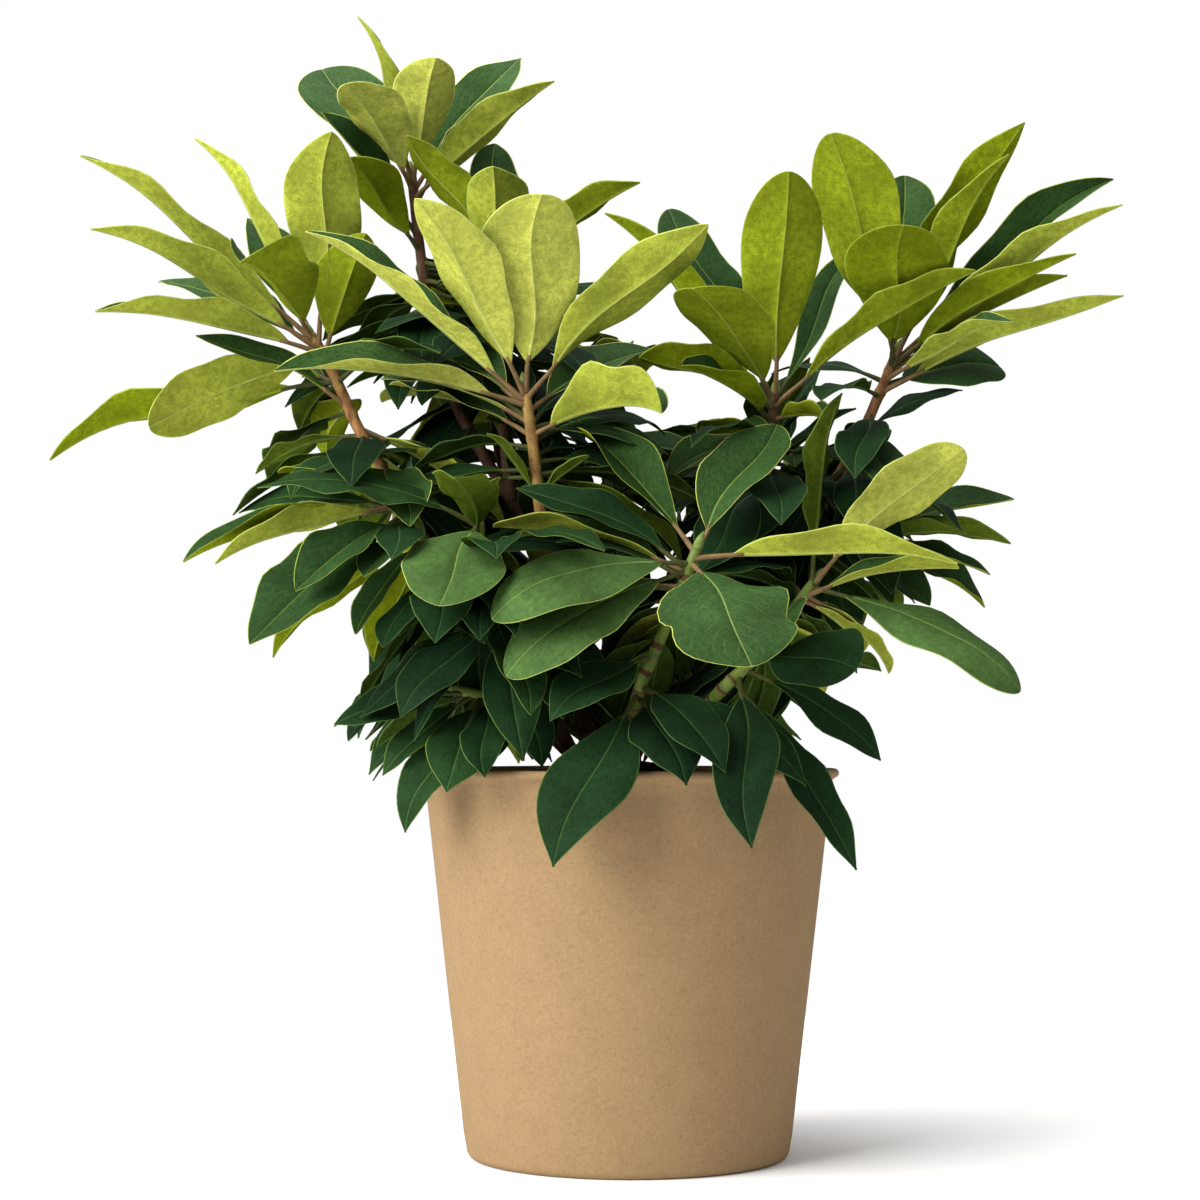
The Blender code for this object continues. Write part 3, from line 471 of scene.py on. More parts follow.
def close_up(mesh):
    """Welds a mesh's loose caps and turns its faces outwards."""
    shape = bmesh.new()
    shape.from_mesh(mesh)
    bmesh.ops.remove_doubles(shape, verts=shape.verts, dist=0.00001)
    bmesh.ops.recalc_face_normals(shape, faces=shape.faces)
    shape.to_mesh(mesh)
    shape.free()


def mixed(pairs, t):
    """The value at t on a line of (place, value) pairs."""
    for (t0, v0), (t1, v1) in zip(pairs, pairs[1:]):
        if t <= t1:
            return v0 + (v1 - v0) * (t - t0) / (t1 - t0)
    return pairs[-1][1]


def trunk_line():
    """Foot and tip of the trunk, in metres."""
    return Vector(TRUNK_FOOT) * MM, Vector(TRUNK_TIP) * MM


def trunk_radius(height):
    """The trunk's radius at a height."""
    foot, tip = trunk_line()
    return mixed(TRUNK_RADII, (height - foot.z) / (tip.z - foot.z)) * MM


def trunk_course():
    """The trunk's points and radii, from its flat cut on the compost to its tip."""
    foot, tip = trunk_line()
    shares = [share for share, _ in TRUNK_RADII] + [0.75]
    shares.sort()
    path = [foot.lerp(tip, share) for share in shares]
    path[1] = foot + Vector((0, 0, path[1].z - foot.z))
    return path, [mixed(TRUNK_RADII, share) * MM for share in shares]


def bough_path(mass):
    """The route of a mass's bough, from the trunk's side or tip to the mass's stem."""
    height, compass = mass["bough"]
    stem = Vector(mass["stem"]) * MM
    ahead = Vector(mass["whorls"][0]["route"][0]) * MM
    foot, tip = trunk_line()
    if compass is None:
        out = (tip - foot).normalized()
        start = tip + out * GAP
    else:
        turn = math.radians(compass)
        out = Vector((math.cos(turn), math.sin(turn), 0.0))
        axis = foot.lerp(tip, (height * MM - foot.z) / (tip.z - foot.z))
        start = axis + out * (trunk_radius((height - BOUGH_ROOT_RADIUS) * MM) + 2 * GAP)
    reach = (stem - start).length
    leave = start + out * reach * BOUGH_LEAVE
    arrive = stem - (ahead - stem).normalized() * reach * BOUGH_ARRIVE
    path = []
    for step in range(BOUGH_POINTS):
        t = step / (BOUGH_POINTS - 1)
        s = 1 - t
        path.append(start * s ** 3 + leave * 3 * s * s * t + arrive * 3 * s * t * t + stem * t ** 3)
    path[1] = start + out * (path[1] - start).length
    return path


def tapered(path, root, tip):
    """Radii in metres that fall evenly along a path, from root to tip in mm."""
    last = len(path) - 1
    return [(root + (tip - root) * i / last) * MM for i in range(len(path))]


def shoot_paths(mass):
    """The routes of a mass's shoots: the first grows from the bough's tip, the others from it."""
    end = bough_path(mass)
    heading = (end[-1] - end[-2]).normalized()
    start = end[-1] + heading * GAP
    paths = []
    for number, whorl in enumerate(mass["whorls"]):
        points = [Vector(point) * MM for point in whorl["route"]]
        if number == 0:
            lead = start + heading * SHOOT_LEAD * MM
            route = [lead, *points]
            path = [start, *smooth_path(route, SHOOT_POINTS)]
        else:
            path = smooth_path([start + heading * FORK_LEAD * MM, *points], SHOOT_POINTS)
        paths.append(path)
    return paths


def down_the_shoot(path, drop):
    """The point that lies a distance down a shoot from its tip."""
    for end, begin in zip(reversed(path), reversed(path[:-1])):
        length = (end - begin).length
        if drop <= length:
            return end.lerp(begin, drop / length)
        drop -= length
    return path[1].copy()


def leaf_frame(base, clock, lean, length, face):
    """A leaf's base, chord, upper side and droop."""
    turn = math.radians(clock)
    tilt = math.radians(lean)
    chord = Vector((math.cos(turn) * math.cos(tilt), -math.sin(tilt), math.sin(turn) * math.cos(tilt)))
    upper = Vector((0.0, -face, 1.0))
    upper -= chord * upper.dot(chord)
    upper.normalize()
    droop = math.radians(LEAF_DROOP + LEAF_DROOP_WHEN_FLAT * (1 - abs(chord.z)))
    return {"base": base, "chord": chord * length, "upper": upper, "sag": length * droop / 8,
            "length": length}


def leaf_point(frame, t):
    """The middle line of a leaf at t, its direction there and its upper side there."""
    bow = 4 * frame["sag"]
    place = frame["base"] + frame["chord"] * t + frame["upper"] * bow * t * (1 - t)
    along = (frame["chord"] + frame["upper"] * bow * (1 - 2 * t)).normalized()
    side = along.cross(frame["upper"]).normalized()
    return place, side, side.cross(along).normalized()


def blade_share(t):
    """A leaf's half width at t, as a share of its greatest."""
    if t <= PETIOLE or t >= 1.0:
        return 0.0
    u = (t - PETIOLE) / (1 - PETIOLE)
    peak = BLADE_SWELL / (BLADE_SWELL + BLADE_POINT)
    most = peak ** BLADE_SWELL * (1 - peak) ** BLADE_POINT
    return u ** BLADE_SWELL * (1 - u) ** BLADE_POINT / most


def leaf_shape(frame, width, stations, swell):
    """Points and faces of a leaf: three-cornered sections along its middle line, and a tip."""
    points = []
    for t in stations:
        place, side, upper = leaf_point(frame, t)
        half = max(blade_share(t) * width / 2, PETIOLE_RADIUS) + swell
        lift = upper * half * LEAF_LIFT
        keel = upper * (max(frame["length"] * LEAF_THICKNESS, PETIOLE_RADIUS) + swell)
        points += [place - side * half + lift, place + side * half + lift, place - keel]
    points.append(leaf_point(frame, 1.0)[0] + frame["chord"].normalized() * swell)
    faces = [(0, 1, 2)]
    for row in range(len(stations) - 1):
        for corner in range(3):
            a = row * 3 + corner
            b = row * 3 + (corner + 1) % 3
            faces += [(a, a + 3, b + 3), (a, b + 3, b)]
    tip = len(points) - 1
    last = tip - 3
    faces += [(last + corner, tip, last + (corner + 1) % 3) for corner in range(3)]
    return points, faces


def clears_pot(frame, width):
    """Whether a leaf stays out of the pot, and off its rim."""
    top = POT_HEIGHT + CLEAR_OVER_RIM
    for step in range(2, 11):
        t = step / 10
        place, side, _ = leaf_point(frame, t)
        half = blade_share(t) * width / 2
        for point in (place, place - side * half, place + side * half):
            if point.z < top and math.hypot(point.x, point.y) < POT_RIM_RADIUS + CLEAR_OF_WALL:
                return False
    return True


class Space:
    """What stands in the crown so far: for each piece its mass, its box and its surfaces."""

    def __init__(self):
        self.pieces = []

    def add(self, owner, points, faces, blade):
        low = Vector([min(p[i] for p in points) for i in range(3)])
        high = Vector([max(p[i] for p in points) for i in range(3)])
        whole = BVHTree.FromPolygons(points, faces)
        self.pieces.append((owner, low, high, whole, blade))

    def is_free(self, owner, points, faces, blade):
        low = Vector([min(p[i] for p in points) for i in range(3)])
        high = Vector([max(p[i] for p in points) for i in range(3)])
        tree = BVHTree.FromPolygons(points, faces)
        for other, other_low, other_high, other_tree, other_blade in self.pieces:
            if any(low[i] > other_high[i] or high[i] < other_low[i] for i in range(3)):
                continue
            if other != owner and tree.overlap(other_tree):
                return False
            if other == owner and other_blade and blade.overlap(other_blade):
                return False
        return True


def try_leaf(space, owner, path, leaf, width_gap):
    """The leaf's frame if it finds room, swung a little where it must, or None."""
    clock, lean, length, width, face, drop = leaf
    base = down_the_shoot(path, drop * MM)
    for clock_swing, lean_swing in NUDGES:
        frame = leaf_frame(base, clock + clock_swing, lean + lean_swing, length * MM, face)
        frame["width"] = width * MM
        frame["drop"] = drop
        if not clears_pot(frame, frame["width"]):
            continue
        test_points, test_faces = leaf_shape(frame, frame["width"], LEAF_STATIONS, width_gap)
        blade_points, blade_faces = leaf_shape(frame, frame["width"], LEAF_STATIONS[2:], width_gap)
        blade = BVHTree.FromPolygons(blade_points, blade_faces)
        if space.is_free(owner, test_points, test_faces, blade):
            points, faces = leaf_shape(frame, frame["width"], LEAF_STATIONS, 0.0)
            space.add(owner, points, faces, blade)
            return frame
    return None


def shoot_length(path):
    """How long a shoot is, in mm."""
    return sum((b - a).length for a, b in zip(path, path[1:])) / MM


def fill_leaf(share, number, behind_until, length_of_shoot, chance):
    """One leaf of the rule: round the shoot by the golden angle, and lower and lower down it."""
    compass = GOLDEN_ANGLE * number + chance.uniform(-FILL_TURN_STRAY, FILL_TURN_STRAY)
    if share < behind_until:
        compass = 90 + (compass % FILL_BACK_SPAN - FILL_BACK_SPAN / 2)
    high, low = FILL_RISE
    rise = high + (low - high) * share ** FILL_EARLY_FALL
    rise = math.radians(rise + chance.uniform(-FILL_STRAY, FILL_STRAY))
    compass = math.radians(compass)
    x = math.cos(compass) * math.cos(rise)
    y = math.sin(compass) * math.cos(rise)
    clock = math.degrees(math.atan2(math.sin(rise), x))
    lean = math.degrees(math.asin(-y))
    length = chance.uniform(*FILL_LENGTHS) * (1 - FILL_SHORTER * share)
    width = length * LEAF_WIDTH_SHARE * chance.uniform(*FILL_WIDTHS)
    drop = 2 + share * FILL_DOWN_THE_SHOOT * length_of_shoot
    return clock, lean, length, width, chance.uniform(*FILL_FACES), drop


def in_crown(frame, limit=1.0):
    """Whether a leaf of the rule ends inside the crown, or inside a share of it."""
    tip = leaf_point(frame, 1.0)[0] - CROWN_CENTRE
    reach = CROWN_REACH.copy()
    if tip.z < 0:
        reach.z = CROWN_DEPTH
    return sum((tip[i] / reach[i]) ** 2 for i in range(3)) <= limit


def keeps_open(frame, width):
    """Whether a leaf of the rule leaves the crown's openings open, seen from the front."""
    for step in range(3, 11):
        t = step / 10
        place, side, _ = leaf_point(frame, t)
        half = blade_share(t) * width / 2
        for point in (place, place - side * half, place + side * half):
            nearer = EYE.y / (EYE.y - point.y)
            x = EYE.x + (point.x - EYE.x) * nearer
            z = EYE.z + (point.z - EYE.z) * nearer
            for middle_x, middle_z, radius in OPENINGS:
                if math.hypot(x - middle_x * MM, z - middle_z * MM) < radius * MM:
                    return False
    return True


def leaves_behind(whorl):
    """How far down a shoot the rule's leaves keep to its back, as a share of the shoot."""
    if whorl.get("bare_in_front"):
        return BARE_IN_FRONT
    return FILL_BEHIND if whorl["shows"] else 0.0


def fill_whorl(space, name, path, whorl, chance):
    """The leaves that the rule finds room for on one shoot."""
    frames = []
    tries = whorl["fill"] * FILL_TRIES
    for number in range(tries):
        if len(frames) == whorl["fill"]:
            break
        share = (number / tries) ** FILL_CROWDING
        if whorl["shows"]:
            share = FILL_UNDER_SHOWS + (1 - FILL_UNDER_SHOWS) * share
        leaf = fill_leaf(share, number, leaves_behind(whorl), shoot_length(path), chance)
        base = down_the_shoot(path, leaf[5] * MM)
        frame = leaf_frame(base, leaf[0], leaf[1], leaf[2] * MM, leaf[4])
        if not in_crown(frame) or not keeps_open(frame, leaf[3] * MM):
            continue
        frame = try_leaf(space, name, path, leaf, CLEARANCE)
        if frame:
            frames.append(frame)
    return frames


def grow_leaves(space, shoots):
    """The leaves of every mass: those that show first, then those of the rule."""
    grown = {name: [] for name in MASSES}
    shading = random.Random(SHADE_SEED)
    for name, mass in MASSES.items():
        for path, whorl, tint in zip(shoots[name], mass["whorls"], TINTS[name]):
            for leaf in whorl["shows"]:
                frame = try_leaf(space, name, path, leaf[:6], CLEARANCE)
                if frame:
                    style, shade, roll = (*leaf[6:], None, None, None)[:3]
                    frame["shade"] = shade or leaf_shade(name, tint, leaf[5], shading)
                    frame["style"] = style
                    frame["roll"] = roll or 0
                    grown[name].append(frame)
    chance = random.Random(SEED)
    for name, mass in MASSES.items():
        for path, whorl, tint in zip(shoots[name], mass["whorls"], TINTS[name]):
            for frame in fill_whorl(space, name, path, whorl, chance):
                frame["shade"] = leaf_shade(name, tint, frame["drop"], shading)
                grown[name].append(frame)
    return grown


def infill(space, shoots, grown):
    """More leaves of the same rule in the crown's gaps, smaller and with less room round them."""
    chance = random.Random(INFILL_SEED)
    added = {name: [] for name in MASSES}
    for name, mass in MASSES.items():
        for path, whorl in zip(shoots[name], mass["whorls"]):
            found = 0
            for number in range(INFILL_TRIES):
                if found == INFILL_LEAVES:
                    break
                at_tip = not whorl["shows"] and number < TIP_TRIES
                share = 0.0 if at_tip else 0.12 + 0.88 * number / INFILL_TRIES
                behind = BARE_IN_FRONT if whorl.get("bare_in_front") else 0.0
                leaf = fill_leaf(share, number, behind, shoot_length(path), chance)
                length = chance.uniform(*(TIP_LENGTHS if at_tip else INFILL_LENGTHS))
                width = length * LEAF_WIDTH_SHARE * chance.uniform(*FILL_WIDTHS)
                base = down_the_shoot(path, leaf[5] * MM)
                frame = leaf_frame(base, leaf[0], leaf[1], length * MM, leaf[4])
                within = at_tip or in_crown(frame, INFILL_REACH)
                if not within or not keeps_open(frame, width * MM):
                    continue
                trial = (leaf[0], leaf[1], length, width, leaf[4], leaf[5])
                frame = try_leaf(space, name, path, trial, INFILL_CLEARANCE)
                if frame:
                    frame["shade"] = chance.choice(("mid", "dark", "dark", "deep"))
                    added[name].append(frame)
                    found += 1
    return added


def habit(chance, frame):
    """One leaf's own ways: its fold, cup, twist, sway, waves and outline."""
    style = frame.get("style") or ("young" if frame["shade"] in YOUNG_SHADES else "old")
    ways = {name: chance.uniform(*span) for name, span in STYLES[style].items()}
    ways["fold"] = math.radians(ways["fold"])
    ways["twist"] = math.radians(ways["twist"])
    side = frame["chord"].cross(frame["upper"])
    ways["roll"] = math.copysign(1.0, side.y) * math.radians(frame.get("roll", 0))
    if style == "blade":
        ways["twist"] = math.copysign(ways["twist"], side.y)
    ways["wave"] *= frame["length"]
    ways["waves"] = chance.uniform(1.5, 3.2)
    ways["phases"] = (chance.uniform(0, 2 * math.pi), chance.uniform(0, 2 * math.pi))
    ways["sway"] = chance.uniform(-0.03, 0.03)
    ways["hook"] = chance.uniform(-0.03, 0.03)
    ways["lobe"] = LOBES if style == "lobed" else chance.uniform(0.0, 0.03)
    return ways


def unit(vectors):
    """Rows of an array, each made one long."""
    return vectors / np.linalg.norm(vectors, axis=-1, keepdims=True)


def mid_line(frame, ways, t):
    """Places, side directions and upper directions along a leaf at the shares t of its length."""
    base, chord, upper = (np.array(frame[key]) for key in ("base", "chord", "upper"))
    t = t[:, None]
    bow = 4 * frame["sag"] * ways["bow"]
    place = base + chord * t + upper * bow * t * (1 - t)
    along = unit(chord + upper * bow * (1 - 2 * t))
    side = unit(np.cross(along, upper))
    up = np.cross(side, along)
    u = np.clip((t - PETIOLE) / (1 - PETIOLE), 0, 1)
    turn = ways["twist"] * (u - 0.35) + ways["roll"] * np.clip(4 * u, 0, 1)
    turned_side = side * np.cos(turn) + up * np.sin(turn)
    turned_up = up * np.cos(turn) - side * np.sin(turn)
    place = place + side * frame["length"] * ways["sway"] * np.sin(2 * np.pi * u)
    end = (np.clip(u - 0.62, 0, 1) ** 2 - 0.38 ** 2 * u ** 2) * 4 * frame["length"]
    place = place - up * ways["curl"] * end + side * ways["hook"] * end
    return place, turned_side, turned_up


def blade_halves(frame, ways, u):
    """The blade's half width at the shares u of its own length."""
    swell, point = ways["swell"], ways["point"]
    peak = swell / (swell + point)
    most = peak ** swell * (1 - peak) ** point
    share = u ** swell * (1 - u) ** point / most
    share = share * (1 + ways["lobe"] * np.sin(2 * np.pi * ways["waves"] * u + ways["phases"][0]))
    width = frame["width"] * (SLIM_WIDTH if frame.get("style") == "slim" else 1)
    return np.maximum(share * width / 2, 0.7 * MM)


def fine_blade(frame, ways):
    """A closed blade: points, faces, the kind of each face and its place on the leaf."""
    u = np.linspace(0.0, 1.0, BLADE_ROWS)
    u = u - 0.11 * np.sin(2 * np.pi * u)
    u = np.minimum(u, 0.997)
    half = blade_halves(frame, ways, u)[:, None]
    place, side, up = mid_line(frame, ways, PETIOLE + (1 - PETIOLE) * u)
    rib = np.minimum((RIB_HALF_WIDTH[0] + (RIB_HALF_WIDTH[1] - RIB_HALF_WIDTH[0]) * u)[:, None] / half, 0.14)
    edge = 1 - np.minimum(MARGIN_WIDTH / half, 0.10)
    steps = [np.full_like(half, share) for share in COLUMN_SHARES]
    right = [rib, *steps, edge, np.ones_like(half)]
    left = [-column for column in reversed(right)]
    across = np.hstack([*left, np.zeros_like(half), *right])
    reach = np.abs(across)
    phase = np.where(across < 0, ways["phases"][0], ways["phases"][1])
    fade = np.sin(np.pi * np.clip(u, 0, 1))[:, None]
    lift = reach * half * math.sin(ways["fold"]) + ways["cup"] * half * reach ** 2
    lift = lift + ways["wave"] * fade * reach ** 2 * np.sin(2 * np.pi * ways["waves"] * u[:, None] + phase)
    spread = across * half * math.cos(ways["fold"])
    middle = across.shape[1] // 2
    groove = np.zeros_like(across)
    groove[:, middle] = GROOVE
    top = place[:, None] + side[:, None] * spread[..., None] + up[:, None] * (lift - groove)[..., None]
    rib_height = (RIB_HEIGHT[0] + (RIB_HEIGHT[1] - RIB_HEIGHT[0]) * u)[:, None]
    skin = SKIN * (1 - reach ** 40)
    skin[:, middle] += rib_height[:, 0]
    below = top - up[:, None] * skin[..., None]
    count = across.shape[1]
    ring = np.concatenate([top, below[:, -2:0:-1]], axis=1)
    places = np.concatenate([across, across[:, -2:0:-1]], axis=1)
    size = ring.shape[1]
    points = ring.reshape(-1, 3)
    rows = np.arange(BLADE_ROWS - 1)[:, None] * size
    k = np.arange(size)[None, :]
    nxt = (k + 1) % size
    faces = np.stack([rows + k, rows + nxt, rows + size + nxt, rows + size + k], axis=-1)
    faces[:, count - 1:] = np.roll(faces[:, count - 1:], -1, axis=-1)
    faces = faces.reshape(-1, 4)
    kinds = np.array([face_kind(number, count) for number in range(size)])
    kinds = np.tile(kinds, BLADE_ROWS - 1)
    uv = np.stack([np.repeat(u, size), places.reshape(-1) * 0.5 + 0.5], axis=-1)
    return points, faces, kinds, uv, size


def face_kind(number, count):
    """Which material a strip of the blade's ring takes: a skin, the margin's or the midrib's."""
    upper = number < count - 1
    column = number if upper else 2 * (count - 1) - 1 - number
    middle = count // 2
    if column in (0, count - 2):
        return MARGIN
    if column in (middle - 1, middle):
        return RIB if upper else MARGIN
    return UPPER if upper else UNDER


def tube(path, radii, sides, squash=1.0):
    """Points and faces of a tube along a path of points, open at its ends, seen as a grid."""
    path = np.array([tuple(point) for point in path])
    along = unit(np.gradient(path, axis=0))
    guide = np.array((0.0, 0.0, 1.0)) if abs(along[0][2]) < 0.8 else np.array((0.0, -1.0, 0.0))
    rings = []
    for place, heading, radius in zip(path, along, radii):
        across = unit(np.cross(heading, guide))
        guide = np.cross(across, heading)
        angles = np.linspace(0, 2 * np.pi, sides, endpoint=False)[:, None]
        rings.append(place + radius * (across * np.cos(angles) + guide * squash * np.sin(angles)))
    grid = np.array(rings)
    rows = np.arange(len(path) - 1)[:, None] * sides
    k = np.arange(sides)[None, :]
    nxt = (k + 1) % sides
    faces = np.stack([rows + k, rows + nxt, rows + sides + nxt, rows + sides + k], axis=-1).reshape(-1, 4)
    return grid, faces


def fan(ring, point):
    """Triangles from a ring of point numbers to one point."""
    return np.stack([ring, np.roll(ring, -1), np.full(len(ring), point)], axis=-1)


class Heap:
    """Points and faces gathered for one joined mesh, with a material and a leaf place for each."""

    def __init__(self):
        self.points = []
        self.uv = []
        self.batches = []
        self.total = 0

    def add_points(self, points, uv=None):
        """Adds points and gives the number of the first."""
        start = self.total
        self.points.append(np.asarray(points, dtype=float).reshape(-1, 3))
        self.uv.append(np.zeros((len(self.points[-1]), 2)) if uv is None else uv)
        self.total += len(self.points[-1])
        return start

    def add_faces(self, start, faces, materials):
        """Adds faces of one size: materials is one name or one for each face."""
        names = [materials] * len(faces) if isinstance(materials, str) else materials
        self.batches.append((faces + start, names))

    def add_tube(self, grid, faces, materials):
        """Adds a tube and closes both its ends."""
        rings, sides = grid.shape[:2]
        ends = [grid[0].mean(axis=0), grid[-1].mean(axis=0)]
        start = self.add_points(np.concatenate([grid.reshape(-1, 3), ends]))
        self.add_faces(start, faces, materials)
        names = [materials] * 2 if isinstance(materials, str) else [materials[0], materials[-1]]
        ring = np.arange(sides)
        self.add_faces(start, fan(ring[::-1], rings * sides), names[0])
        self.add_faces(start, fan(ring + (rings - 1) * sides, rings * sides + 1), names[1])

    def mesh(self, name, finishes):
        """One smooth mesh of the whole heap, with only the materials it uses."""
        points = np.concatenate(self.points)
        uv = np.concatenate(self.uv)
        used = sorted({finish for _, names in self.batches for finish in set(names)})
        slots = {finish: number for number, finish in enumerate(used)}
        corners = np.concatenate([faces.ravel() for faces, _ in self.batches]).astype(np.int32)
        sizes = np.concatenate([np.full(len(faces), faces.shape[1]) for faces, _ in self.batches])
        starts = np.concatenate([[0], np.cumsum(sizes)[:-1]])
        numbers = np.concatenate([[slots[finish] for finish in names] for _, names in self.batches])
        made = bpy.data.meshes.new(name)
        made.vertices.add(len(points))
        made.vertices.foreach_set("co", points.astype(np.float32).ravel())
        made.loops.add(len(corners))
        made.loops.foreach_set("vertex_index", corners)
        made.polygons.add(len(sizes))
        made.polygons.foreach_set("loop_start", starts.astype(np.int32))
        made.polygons.foreach_set("loop_total", sizes.astype(np.int32))
        made.polygons.foreach_set("material_index", numbers.astype(np.int32))
        made.polygons.foreach_set("use_smooth", np.ones(len(sizes), dtype=bool))
        layer = made.uv_layers.new(name="leaf")
        layer.data.foreach_set("uv", uv[corners].astype(np.float32).ravel())
        made.update(calc_edges=True)
        made.validate()
        for finish in used:
            made.materials.append(finishes[finish])
        return made


def add_leaf(heap, frame, ways, shade):
    """One fine leaf: its blade, closed at both ends, and its stalk."""
    points, faces, kinds, uv, size = fine_blade(frame, ways)
    tip = mid_line(frame, ways, np.array([1.0]))[0]
    foot = points[:size].mean(axis=0)[None]
    ends = np.concatenate([uv, [[0, 0.5]], [[1, 0.5]]])
    start = heap.add_points(np.concatenate([points, foot, tip]), ends)
    names = [f"{shade}_{kind}" for kind in KINDS]
    heap.add_faces(start, faces, [names[kind] for kind in kinds])
    ring = np.arange(size)
    heap.add_faces(start, fan(ring[::-1], len(points)), names[MARGIN])
    heap.add_faces(start, fan(ring + len(points) - size, len(points) + 1), names[MARGIN])
    t = np.linspace(-0.004, PETIOLE + STALK_OVERLAP, STALK_RINGS)
    place, _, up = mid_line(frame, ways, t)
    radii = np.linspace(*STALK_RADII, STALK_RINGS)
    radii[0] *= 1.35
    grid, stalk_faces = tube(place - up * radii[:, None] * 0.5, radii, STALK_SIDES)
    stalk = "stalk_light" if SHADE_ORDER.index(shade) < 3 else "stalk_dark"
    heap.add_tube(grid, stalk_faces, stalk)


def leaf_shade(name, tint, drop, chance):
    """The shade of a leaf, from its whorl's tint and how far down the shoot it sits."""
    number = SHADE_ORDER.index(tint)
    if drop > YOUNG_REACH.get(name, USUAL_YOUNG_REACH):
        number += STEPS_DARKER_WHEN_OLD
    number += chance.choice((0, 0, 0, 1))
    return SHADE_ORDER[min(number, SHADE_ORDER.index("deep"))]


def bark_surface(path, radii, sides, step, relief, seed):
    """A tube with ridges along it and knots round it, as a grid of points and its faces."""
    length = sum((b - a).length for a, b in zip(path, path[1:]))
    count = max(4, int(length / step))
    smooth = smooth_path(list(path), count)
    shares = np.linspace(0, 1, count)
    places = np.linspace(0, 1, len(radii))
    grid, faces = tube(smooth, np.interp(shares, places, radii), sides)
    centre = np.array([tuple(point) for point in smooth])[:, None]
    out = unit(grid - centre)
    depth = np.zeros(grid.shape[:2])
    for row in range(count):
        run = shares[row] * length
        for side in range(sides):
            turn = 2 * math.pi * side / sides
            ridge = Vector((math.cos(turn) * 2.2, math.sin(turn) * 2.2, run * 70 + seed))
            knot = Vector((math.cos(turn) * 0.6, math.sin(turn) * 0.6, run * 190 + seed))
            depth[row, side] = noise.fractal(ridge, 1.0, 2.0, 3) + 0.5 * noise.noise(knot)
    return grid + out * (depth * relief)[..., None], faces


def add_limb_piece(name, node, path, radii, relief, finishes, seed):
    """A trunk or bough with the bark's relief, in place of its solid."""
    heap = Heap()
    grid, faces = bark_surface(path, radii, BARK_SIDES, BARK_STEP, relief, seed)
    heap.add_tube(grid, faces, "bark")
    piece = new_object(name, heap.mesh(name, finishes))
    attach(piece, BODY)
    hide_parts(node)
    return piece


def lengthened(path, back, ahead):
    """A path drawn out at both ends, so that it runs into what it grows from and into its shoot."""
    first = path[0] + (path[0] - path[1]).normalized() * back
    last = path[-1] + (path[-1] - path[-2]).normalized() * ahead
    return [first, *path, last]


def add_wood(finishes):
    """The trunk and the boughs."""
    path, radii = trunk_course()
    add_limb_piece("trunk_bark", "trunk", path, radii, 0.9 * MM, finishes, 0)
    for number, (name, mass) in enumerate(MASSES.items()):
        path = lengthened(bough_path(mass), 4 * MM, 3 * MM)
        radii = tapered(path, BOUGH_ROOT_RADIUS, BOUGH_TIP_RADIUS)
        radii[0] *= 1.25
        node = name.replace("foliage", "bough")
        add_limb_piece(node + "_bark", node, path, radii, 0.45 * MM, finishes, 10 * number + 5)


def add_bud(heap, place, heading, finish):
    """A pointed bud at a shoot's tip."""
    shares = np.linspace(0, 1, 8)
    path = [place + heading * (BUD_LENGTH * share - 1 * MM) for share in shares]
    radii = BUD_RADIUS * np.sin(np.pi * (0.22 + 0.78 * shares) ** 0.9) ** 0.8 + 0.1 * MM
    grid, faces = tube(path, radii, 10)
    heap.add_tube(grid, faces, finish)


def node_rows(count, chance):
    """Rings of a shoot that carry the scar of a fallen leaf."""
    rows = []
    row = chance.randrange(3, 7)
    while row < count - 4:
        rows.append(row)
        row += chance.randrange(*NODE_ROWS)
    return rows


def add_twigs(shoots, finishes):
    """The shoots of each mass, with their nodes and buds, joined as one piece."""
    chance = random.Random(TWIG_SEED)
    for number, (name, paths) in enumerate(shoots.items()):
        heap = Heap()
        old_name, young_name = TWIGS.get(name, USUAL_TWIGS)
        for path in paths:
            radii = [radius * TWIG_SWELL for radius in tapered(path, SHOOT_ROOT_RADIUS, SHOOT_TIP_RADIUS)]
            grid, faces = bark_surface(path, radii, TWIG_SIDES, TWIG_STEP, 0.2 * MM, 7 * number)
            old = int(len(faces) * 0.45) // TWIG_SIDES * TWIG_SIDES
            names = [old_name] * old + [young_name] * (len(faces) - old)
            for row in node_rows(len(grid), chance):
                centre = grid[row].mean(axis=0)
                grid[row] = centre + (grid[row] - centre) * NODE_SWELL
                first = row * TWIG_SIDES
                if old_name == "twig_green":
                    names[first:first + TWIG_SIDES] = ["twig_node"] * TWIG_SIDES
            heap.add_tube(grid, faces, names)
            add_bud(heap, path[-1], (path[-1] - path[-2]).normalized(), "bud")
        label = name.replace("foliage", "twigs")
        piece = new_object(label, heap.mesh(label, finishes))
        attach(piece, BODY)


def add_leaves(grown, added, finishes):
    """The leaves of each mass joined as one piece, in place of its solid."""
    triangles = 0
    for number, name in enumerate(MASSES):
        chance = random.Random(100 + number)
        heap = Heap()
        for frame in grown[name]:
            add_leaf(heap, frame, habit(chance, frame), frame["shade"])
        for frame in added[name]:
            add_leaf(heap, frame, habit(chance, frame), frame["shade"])
        label = name.replace("foliage", "leaves")
        piece = new_object(label, heap.mesh(label, finishes))
        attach(piece, BODY)
        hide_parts(name)
        triangles += sum(len(face.vertices) - 2 for face in piece.data.polygons)
    print("LEAVES", sum(map(len, grown.values())), sum(map(len, added.values())), "TRIANGLES", triangles)


